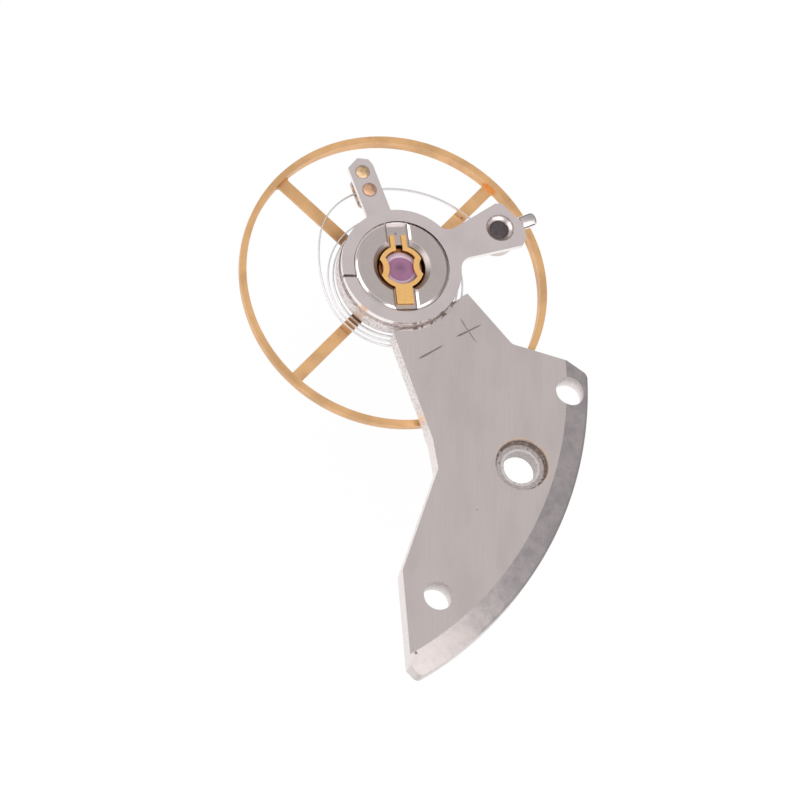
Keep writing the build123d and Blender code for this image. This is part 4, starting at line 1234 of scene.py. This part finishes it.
class BALANCE_OT_carrier(bpy.types.Operator):
    """Builds the stud carrier with the stud, its screw and its pin"""

    bl_idname = "balance.carrier"
    bl_label = "Stud carrier"
    bl_options = {"REGISTER", "UNDO"}

    def execute(self, context):
        finish, size = finishes(context), in_mm(context.scene.balance_arms)
        turn, stud = size.carrier_angle, (size.stud_distance, 0)
        foot, top = heights("stud_carrier")
        bottom, sink = foot + size.boss_height, top - size.stud_sink
        # The bore is wider round the block's lip.
        lip = heights("shock_block")[1] - 0.16
        reach, root, end = size.carrier_reach, size.carrier_root / 2, size.carrier_end / 2
        points = [(reach - back * (reach - size.stud_distance), side * end) for back, side in ARM_END]
        upper = [(size.ring_bore, root), *points[::-1][:4]]
        lower = [(size.ring_bore, -root), *points[:3]]
        plate = arm("carrier_arm", size.carrier_radius, size.carrier_fillet, (upper, lower), bottom, top)
        join(plate, rod(size.boss_radius, foot, bottom + 0.05, stud, 96))
        slit = prism("slit", slab(-1, 1, -size.carrier_slit / 2, size.carrier_slit / 2), bottom - PAST, top + PAST)
        slit = moved(slit, (size.carrier_radius, 0, 0), size.slit_skew)
        # The stud's hole widens in a cone of one in one, which runs on above the plate.
        past = 0.1
        mouth = lathe("mouth", [
            (0, bottom - PAST),
            (size.stud_radius, bottom - PAST),
            (size.stud_radius, sink),
            (size.stud_radius + size.stud_sink + past, top + past),
            (0, top + past),
        ], 96)
        way = moved(rod(size.screw_radius, 0, 2, steps=48), (*stud, bottom - size.screw_drop), math.pi / 2, "Y")
        cut(
            plate,
            rod(size.ring_bore, bottom - PAST, top + PAST),
            rod(size.lip_bore, lip, top + PAST),
            moved(slit, turn=size.slit_angle - turn),
            moved(mouth, (*stud, 0)),
            way,
        )
        done(soften(plate, size.carrier_edge), finish["carrier"], "stud_carrier", turn=turn)

        end, edge = heights("hairspring_stud")[0], 0.03
        body = lathe("stud_body", [
            (0, end),
            (size.stud_stem, end),
            (size.stud_stem, foot),
            (size.stud_radius, foot),
            (size.stud_radius, sink),
            (size.stud_radius - edge, sink + edge),
            (0, sink + edge),
        ], 96)
        low, high = heights("hairspring")
        gap = context.scene.balance_spring.thickness / MM / 2 + STRIP_PLAY
        cut(body, prism("strip", slab(-gap, gap, -1, 1), low - STRIP_PLAY, high + STRIP_PLAY))
        done(soften(moved(body, (*stud, 0)), 0.012), finish["stud"], "hairspring_stud", turn=turn)
        self.screw(size, finish, bottom, turn)
        pin = moved(wedge_pin("stud_peg", "X"), (size.stud_distance + gap + PEG_RADIUS, 0, (low + high) / 2))
        done(pin, finish["brass"], "stud_pin", turn=turn)
        return {"FINISHED"}

    def screw(self, size, finish, bottom, turn):
        """The stud screw: rolled thread, cheese head with a polished chamfer and a slot."""
        tip, neck = size.stud_distance + size.stud_radius, size.carrier_reach + size.screw_gap
        end, head = neck + size.screw_length, size.screw_head
        pitch, core = 0.06, size.screw_radius - 0.02
        section = [(0, tip)]
        for count in range(int((neck - tip) / pitch)):
            place = tip + count * pitch
            section += [(core, place), (size.screw_radius, place + pitch / 2)]
        # The head's chamfer and crown: steps in from its side and back from its end
        crown = ((0, 0.12), (0.015, 0.07), (0.045, 0.03), (0.09, 0.006), (0.14, 0))
        section += [(core, neck), (head - 0.03, neck), (head, neck + 0.03)]
        section += [(head - inward, end - back) for inward, back in crown] + [(0, end)]
        screw = moved(lathe("stud_screw_turned", section, 96), turn=math.pi / 2, axis="Y")
        deep, half = 0.12, 0.04
        slot = prism("slot", slab(end - deep, end + PAST, -half, half), -1, 1)
        cut(screw, moved(slot, turn=math.radians(60), axis="X"))
        soften(screw, 0.008, least=45)
        done(moved(screw, (0, 0, bottom - size.screw_drop)), finish["steel"], "stud_screw", turn=turn, smooth=35)


def spring_arcs(size, arms):
    """The hairspring's line as arcs: centre, radius, start and turn, from collet to stud."""
    quarter = math.pi / 2
    curb = (arms.pin_distance + arms.boot_distance) / 2
    turn = size.coil_angle + math.pi * (size.half_turns + 1)
    # Even coil, in half turns
    arcs = []
    step = (size.coil_radius - size.first_radius) / size.half_turns
    radii = [size.start_radius] + [size.first_radius + count * step for count in range(size.half_turns + 1)]
    for inner, outer in zip(radii[:-1], radii[1:]):
        mean = (inner + outer) / 2
        arcs.append((on_circle(inner - mean, turn), mean, turn, -math.pi))
        turn -= math.pi
    # Bend outward to the curb pins' radius, in a flat arc and a tight one
    bend = size.bend_angle
    spread = (curb - size.coil_radius) / (math.sin(bend) + math.cos(bend) - 1)
    flat, tight = size.coil_radius + spread * math.cos(bend), curb - spread * math.sin(bend)
    arcs.append((on_circle(size.coil_radius - flat, turn), flat, turn, -bend))
    turn -= quarter
    arcs.append((on_circle(curb - tight, turn), tight, turn + quarter - bend, bend - quarter))
    # Terminal curve past the pins and through the stud
    seen = turn - arms.carrier_angle
    offset = (arms.stud_distance ** 2 - curb ** 2) / (2 * (curb - arms.stud_distance * math.cos(seen)))
    x, y = on_circle(arms.stud_distance, seen)
    arcs.append((on_circle(-offset, turn), curb + offset, turn, -math.atan2(y, x + offset) - size.end_angle))
    return arcs


class BALANCE_OT_hairspring(bpy.types.Operator):
    """Builds the hairspring as one strip, held at the stud"""

    bl_idname = "balance.hairspring"
    bl_label = "Hairspring"
    bl_options = {"REGISTER", "UNDO"}

    def execute(self, context):
        finish, size = finishes(context), in_mm(context.scene.balance_spring)
        arms = in_mm(context.scene.balance_arms)
        low, high = heights("hairspring")
        # The strip's section: a flat rectangle with broken edges
        half, edge = size.thickness / 2, size.thickness / 5
        across = [
            (half, low + edge), (half, high - edge), (half - edge, high), (edge - half, high),
            (-half, high - edge), (-half, low + edge), (edge - half, low), (half - edge, low),
        ]
        drawn = bmesh.new()
        rows, runs, run = [], [], 0
        arcs = spring_arcs(size, arms)
        for number, (centre, radius, start, sweep) in enumerate(arcs):
            # The half turns of even coil come first, then three shorter arcs.
            steps = 60 if number <= size.half_turns else 30
            last = number == len(arcs) - 1
            for step in range(steps + last):
                row = []
                for out, height in across:
                    x, y = on_circle(radius + out, start + sweep * step / steps)
                    row.append(drawn.verts.new((centre[0] + x, centre[1] + y, height)))
                rows.append(row)
                runs += [run + abs(sweep) * radius * step / steps] * len(row)
            run += abs(sweep) * radius
        for near, far in zip(rows, rows[1:]):
            for here in range(len(near)):
                there = (here + 1) % len(near)
                drawn.faces.new((near[here], near[there], far[there], far[here]))
        drawn.faces.new(rows[0][::-1])
        drawn.faces.new(rows[-1])
        strip = from_bmesh("hairspring_strip", drawn)
        strip.data.transform(Matrix.Scale(MM, 4) @ Matrix.Translation(ON_STAFF))
        strip.data.shade_smooth()
        strip.data.set_sharp_from_angle(angle=math.radians(30))
        strip.data.materials.append(finish["alloy"])
        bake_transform(strip)
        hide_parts("hairspring")
        return {"FINISHED"}


class BALANCE_OT_wheel(bpy.types.Operator):
    """Builds the balance wheel: turned rim, spokes and hub in one piece"""

    bl_idname = "balance.wheel"
    bl_label = "Balance wheel"
    bl_options = {"REGISTER", "UNDO"}

    def execute(self, context):
        finish, size = finishes(context), in_mm(context.scene.balance_wheel)
        bottom, top = heights("balance_wheel")
        inner = size.radius - size.rim_width
        spoke_top = bottom + size.spoke_rise
        rim = lathe("wheel", [
            (inner, bottom),
            (size.radius - size.foot_taper, bottom),
            (size.radius, (bottom + top) / 2),
            (size.radius, top),
            (inner, top),
        ], 360)
        web = rod(size.radius - size.rim_width / 2, spoke_top - size.spoke_thickness, spoke_top, steps=360)
        # The gaps stop just short of the rim's wall, so that no faces coincide.
        gap = self.opening(size, inner - 0.002)
        for count in range(size.spokes):
            cut(web, moved(prism("gap", gap, bottom - PAST, top + PAST), turn=2 * math.pi * count / size.spokes))
        cut(web, rod(size.seat_radius, bottom - PAST, top + PAST))
        join(rim, web)
        soften(rim, size.rim_edge, segments=2, least=40)
        done(rim, finish["gilt"], "balance_wheel", turn=size.spoke_angle)
        return {"FINISHED"}

    def opening(self, size, inner):
        """The opening between two spokes, with its two rounded outer corners."""
        half, fillet = size.spoke_width / 2, size.spoke_fillet
        turn = 2 * math.pi / size.spokes
        # Corner by the first spoke: the fillet touches the spoke's side and the rim's inner wall.
        reach = math.sqrt((inner - fillet) ** 2 - (half + fillet) ** 2)
        middle = Vector((reach, half + fillet))
        start, end = -math.pi / 2, math.atan2(middle.y, middle.x)
        corner = []
        for step in range(11):
            x, y = on_circle(fillet, start + (end - start) * step / 10)
            corner.append((middle.x + x, middle.y + y))
        rim = [on_circle(inner, end + (turn - 2 * end) * step / 60) for step in range(1, 60)]
        # The far corner mirrors it in the line midway between the two spokes.
        axis = Vector(on_circle(1, turn / 2))
        far = [tuple(2 * axis * Vector(point).dot(axis) - Vector(point)) for point in corner[::-1]]
        near = math.asin(half / size.hub_radius)
        hub = [on_circle(size.hub_radius, turn - near - (turn - 2 * near) * step / 16) for step in range(17)]
        return corner + rim + far + hub


class BALANCE_OT_staff(bpy.types.Operator):
    """Builds the staff, the collet and its pin, both rollers and the impulse jewel"""

    bl_idname = "balance.staff"
    bl_label = "Staff and rollers"
    bl_options = {"REGISTER", "UNDO"}

    def execute(self, context):
        finish, size = finishes(context), in_mm(context.scene.balance_staff)
        self.staff(in_mm(context.scene.balance_wheel), size, finish)
        spring, arms = in_mm(context.scene.balance_spring), in_mm(context.scene.balance_arms)
        self.collet(spring, arms, size, finish)
        self.rollers(size, finish)
        return {"FINISHED"}

    def staff(self, wheel, size, finish):
        """The turned staff, with a coned pivot at both ends."""
        low, high = heights("balance_staff")
        collet_low, collet_high = heights("hairspring_collet")
        web = collet_low - wheel.spoke_thickness
        neck = low + size.pivot_length + size.cone_length + size.neck_length
        section = [
            *self.pivot(size, low, 1),
            (size.neck_radius, neck),
            (size.roller_seat, neck),
            (size.roller_seat, web - size.flange_height),
            (size.flange_radius, web - size.flange_height),
            (size.flange_radius, web),
            (wheel.seat_radius, web),
            (wheel.seat_radius, collet_low),
            (size.collet_seat, collet_low),
            (size.collet_seat, collet_high),
            (size.neck_radius, collet_high),
            *self.pivot(size, high, -1)[::-1],
        ]
        staff = soften(lathe("staff_turned", section, 96), 0.012, segments=2, least=40)
        done(staff, finish["steel"], "balance_staff")

    def pivot(self, size, end, inward):
        """Half section of a pivot with its rounded tip and the hollow cone behind it, from its end inward."""
        radius, tip = size.pivot_radius, size.pivot_radius / 2
        cone = size.pivot_length + size.cone_length
        steps = (
            (0, 0), (tip, 0), (radius * 0.85, tip * 0.4), (radius, tip), (radius, size.pivot_length),
            (radius * 1.6, cone - size.cone_length / 2), (size.neck_radius, cone))
        return [(out, end + inward * along) for out, along in steps]

    def collet(self, spring, arms, size, finish):
        """The split collet and the pin that wedges the strip in it."""
        low, high = heights("hairspring_collet")
        strip_low, strip_high = heights("hairspring")
        # The strip starts half a turn round from the end of the even coil.
        start = spring.coil_angle + math.pi
        half = spring.thickness / 2 + STRIP_PLAY
        centre, arc = spring_arcs(spring, arms)[0][:2]
        groove = lathe("groove", [
            (arc - half, strip_low - STRIP_PLAY),
            (arc + half, strip_low - STRIP_PLAY),
            (arc + half, strip_high + STRIP_PLAY),
            (arc - half, strip_high + STRIP_PLAY),
        ], 96)
        side = prism("side", slab(-2, 2, -2, 0), low - PAST, high + PAST)
        combine(moved(groove, (*centre, 0)), "INTERSECT", moved(side, turn=start))
        slit_half = 0.035
        slit = prism("slit", slab(0, 2, -slit_half, slit_half), low - PAST, high + PAST)
        collet = rod(widest("hairspring_collet"), low, high, name="collet_split")
        cut(
            collet,
            rod(size.collet_seat, low - PAST, high + PAST),
            moved(slit, turn=start - math.pi / 2),
            groove,
        )
        done(soften(collet, 0.02, segments=2), finish["brass"], "hairspring_collet")
        pin = moved(wedge_pin("collet_peg", "Y"), turn=start - math.pi / 2)
        x, y = on_circle(spring.start_radius + spring.thickness / 2 + PEG_RADIUS, start)
        done(moved(pin, (x, y, (strip_low + strip_high) / 2)), finish["brass"], "collet_pin")

    def rollers(self, size, finish):
        """The roller table with its half-moon jewel, and the safety roller with its hollow."""
        turn, seat = size.roller_angle, size.roller_seat
        low, high = heights("roller_table")
        under = high - size.table_thickness
        table = rod(widest("roller_table"), under, high, name="roller")
        join(table, rod(size.table_hub, low, under + 0.01))
        # The jewel's flat side lies past its middle.
        flat = size.jewel_radius * 0.35
        moon = [(size.jewel_distance + x, y) for x, y in circle(size.jewel_radius, steps=48) if x <= flat]
        cut(table, rod(seat, low - PAST, high + PAST), prism("jewel", moon, low - PAST, high + PAST))
        done(soften(table, 0.03, segments=2), finish["brass"], "roller_table", turn=turn)

        low, high = heights("safety_roller")
        radius = widest("safety_roller")
        guard = rod(radius, low, high, name="guard_roller")
        # The passing hollow's middle lies just outside the roller.
        hollow = rod(size.hollow_radius, low - PAST, high + PAST, (radius + size.hollow_radius / 3, 0), 48)
        cut(guard, rod(seat, low - PAST, high + PAST), hollow)
        done(soften(guard, 0.015, segments=2), finish["brass"], "safety_roller", turn=turn)

        low, high = heights("impulse_jewel")
        jewel = soften(prism("impulse_pin", moon, low, high), 0.015, segments=2)
        done(jewel, finish["ruby"], "impulse_jewel", turn=turn)


# Stage


def lamp(name, place, side, radiance, target):
    """A square soft box whose glow is a plain multiple of white."""
    data = bpy.data.lights.new(name, "AREA")
    data.shape = "SQUARE"
    data.size = side
    data.energy = radiance * math.pi * side ** 2
    made = bpy.data.objects.new(name, data)
    bpy.context.scene.collection.objects.link(made)
    made.location = place
    made.rotation_euler = (Vector(target) - Vector(place)).to_track_quat("-Z", "Y").to_euler()


class BALANCE_OT_stage(bpy.types.Operator):
    """Sets the pale floor, the soft studio light and the camera"""

    bl_idname = "balance.stage"
    bl_label = "Stage"
    bl_options = {"REGISTER", "UNDO"}

    def execute(self, context):
        stage = context.scene.balance_stage
        self.floor(stage)
        self.world(context)
        # Two soft boxes 0.18 m wide and 0.3 m away, each with half the glow of white
        lamp("front_box", (-0.058, -0.273, 0.110), 0.18, 0.5, stage.aim)
        lamp("left_box", (-0.253, 0.102, 0.125), 0.18, 0.5, stage.aim)
        self.camera(context, stage)
        context.scene.view_settings.view_transform = "Standard"
        return {"FINISHED"}

    def floor(self, stage):
        """A wide white sheet under the object."""
        half, level = 2.0, CAD_LOW.z - stage.floor_gap
        mesh = bpy.data.meshes.new("floor")
        mesh.from_pydata([(*corner, level) for corner in slab(-half, half, -half, half)], [], [(0, 1, 2, 3)])
        mesh.materials.append(material("Paper, white", white_paper))
        sheet = bpy.data.objects.new("floor", mesh)
        bpy.context.scene.collection.objects.link(sheet)

    def world(self, context):
        """A pale room with a wide white wall towards -X and -Y, which the polished edges catch."""
        world = context.scene.world = bpy.data.worlds.new("studio")
        world.use_nodes = True
        tree = world.node_tree
        facing = add(tree, "TexCoord", out="Generated")
        across, rise = [add(tree, "SeparateXYZ", facing, out=axis) for axis in "XZ"]
        ahead, gap = [
            add(tree, "VectorMath", facing, (x, y, 0), **DOT) for x, y in ((-0.75, -0.66), (-0.935, -0.355))]
        tone = lay(tree, (0.86, 0.86, 0.86), (1.55, 1.55, 1.55), (ahead, -0.215, -0.10))
        tone = lay(tree, tone, (0.56, 0.555, 0.565), (across, 0.43, 0.60))
        # The far walls are dim low down, and there is a dark gap in the white wall.
        tone = lay(tree, tone, (0.46, 0.46, 0.47), (ahead, -0.10, -0.30), (rise, 0.60, 0.30))
        tone = lay(tree, tone, (0.36, 0.36, 0.37), (gap, 0.825, 0.86))
        tone = lay(tree, tone, (1.0, 1.0, 1.0), add(tree, "LightPath", out="Is Camera Ray"))
        back = tree.nodes["Background"]
        feed(tree, back.inputs["Color"], tone)
        feed(tree, back.inputs["Strength"], 1.0)

    def camera(self, context, stage):
        """The camera at the photograph's angle, rolled about its line of sight."""
        data = bpy.data.cameras.new("camera")
        made = bpy.data.objects.new("camera", data)
        context.scene.collection.objects.link(made)
        level = math.cos(stage.elevation)
        back = Vector((
            math.sin(stage.azimuth) * level, -math.cos(stage.azimuth) * level, math.sin(stage.elevation)))
        made.rotation_mode = "QUATERNION"
        made.rotation_quaternion = back.to_track_quat("Z", "Y") @ Quaternion((0, 0, 1), stage.roll)
        made.location = Vector(stage.aim) + back * stage.distance
        data.lens = data.sensor_width * stage.distance / stage.span
        data.clip_start, data.clip_end = stage.distance / 20, stage.distance * 40
        context.scene.camera = made


BUILDERS = (
    BALANCE_OT_cock,
    BALANCE_OT_setting,
    BALANCE_OT_regulator,
    BALANCE_OT_carrier,
    BALANCE_OT_hairspring,
    BALANCE_OT_wheel,
    BALANCE_OT_staff,
    BALANCE_OT_stage,
)
GROUPS = {
    "balance_cock": BALANCE_CockSizes,
    "balance_setting": BALANCE_SettingSizes,
    "balance_arms": BALANCE_ArmSizes,
    "balance_spring": BALANCE_SpringSizes,
    "balance_wheel": BALANCE_WheelSizes,
    "balance_staff": BALANCE_StaffSizes,
    "balance_colours": BALANCE_Colours,
    "balance_stage": BALANCE_Stage,
}


class BALANCE_PT_panel(bpy.types.Panel):
    """Lists the sizes, the colours and the operators"""

    bl_idname = "BALANCE_PT_panel"
    bl_label = "Watch balance"
    bl_space_type = "VIEW_3D"
    bl_region_type = "UI"
    bl_category = "Balance"

    def draw(self, context):
        for builder in BUILDERS:
            self.layout.operator(builder.bl_idname)
        for name in GROUPS:
            box = self.layout.box()
            group = getattr(context.scene, name)
            for entry in entries(group):
                box.prop(group, entry.identifier)


def register():
    """Registers the groups, the operators and the panel."""
    for name, group in GROUPS.items():
        bpy.utils.register_class(group)
        setattr(bpy.types.Scene, name, PointerProperty(type=group))
    for made in (*BUILDERS, BALANCE_PT_panel):
        bpy.utils.register_class(made)


def unregister():
    """Takes them out again, in reverse."""
    for made in (BALANCE_PT_panel, *reversed(BUILDERS)):
        bpy.utils.unregister_class(made)
    for name, group in GROUPS.items():
        delattr(bpy.types.Scene, name)
        bpy.utils.unregister_class(group)


def main():
    """Builds everything through the operators."""
    register()
    for builder in BUILDERS:
        group, name = builder.bl_idname.split(".")
        getattr(getattr(bpy.ops, group), name)()


if __name__ == "__main__":
    main()
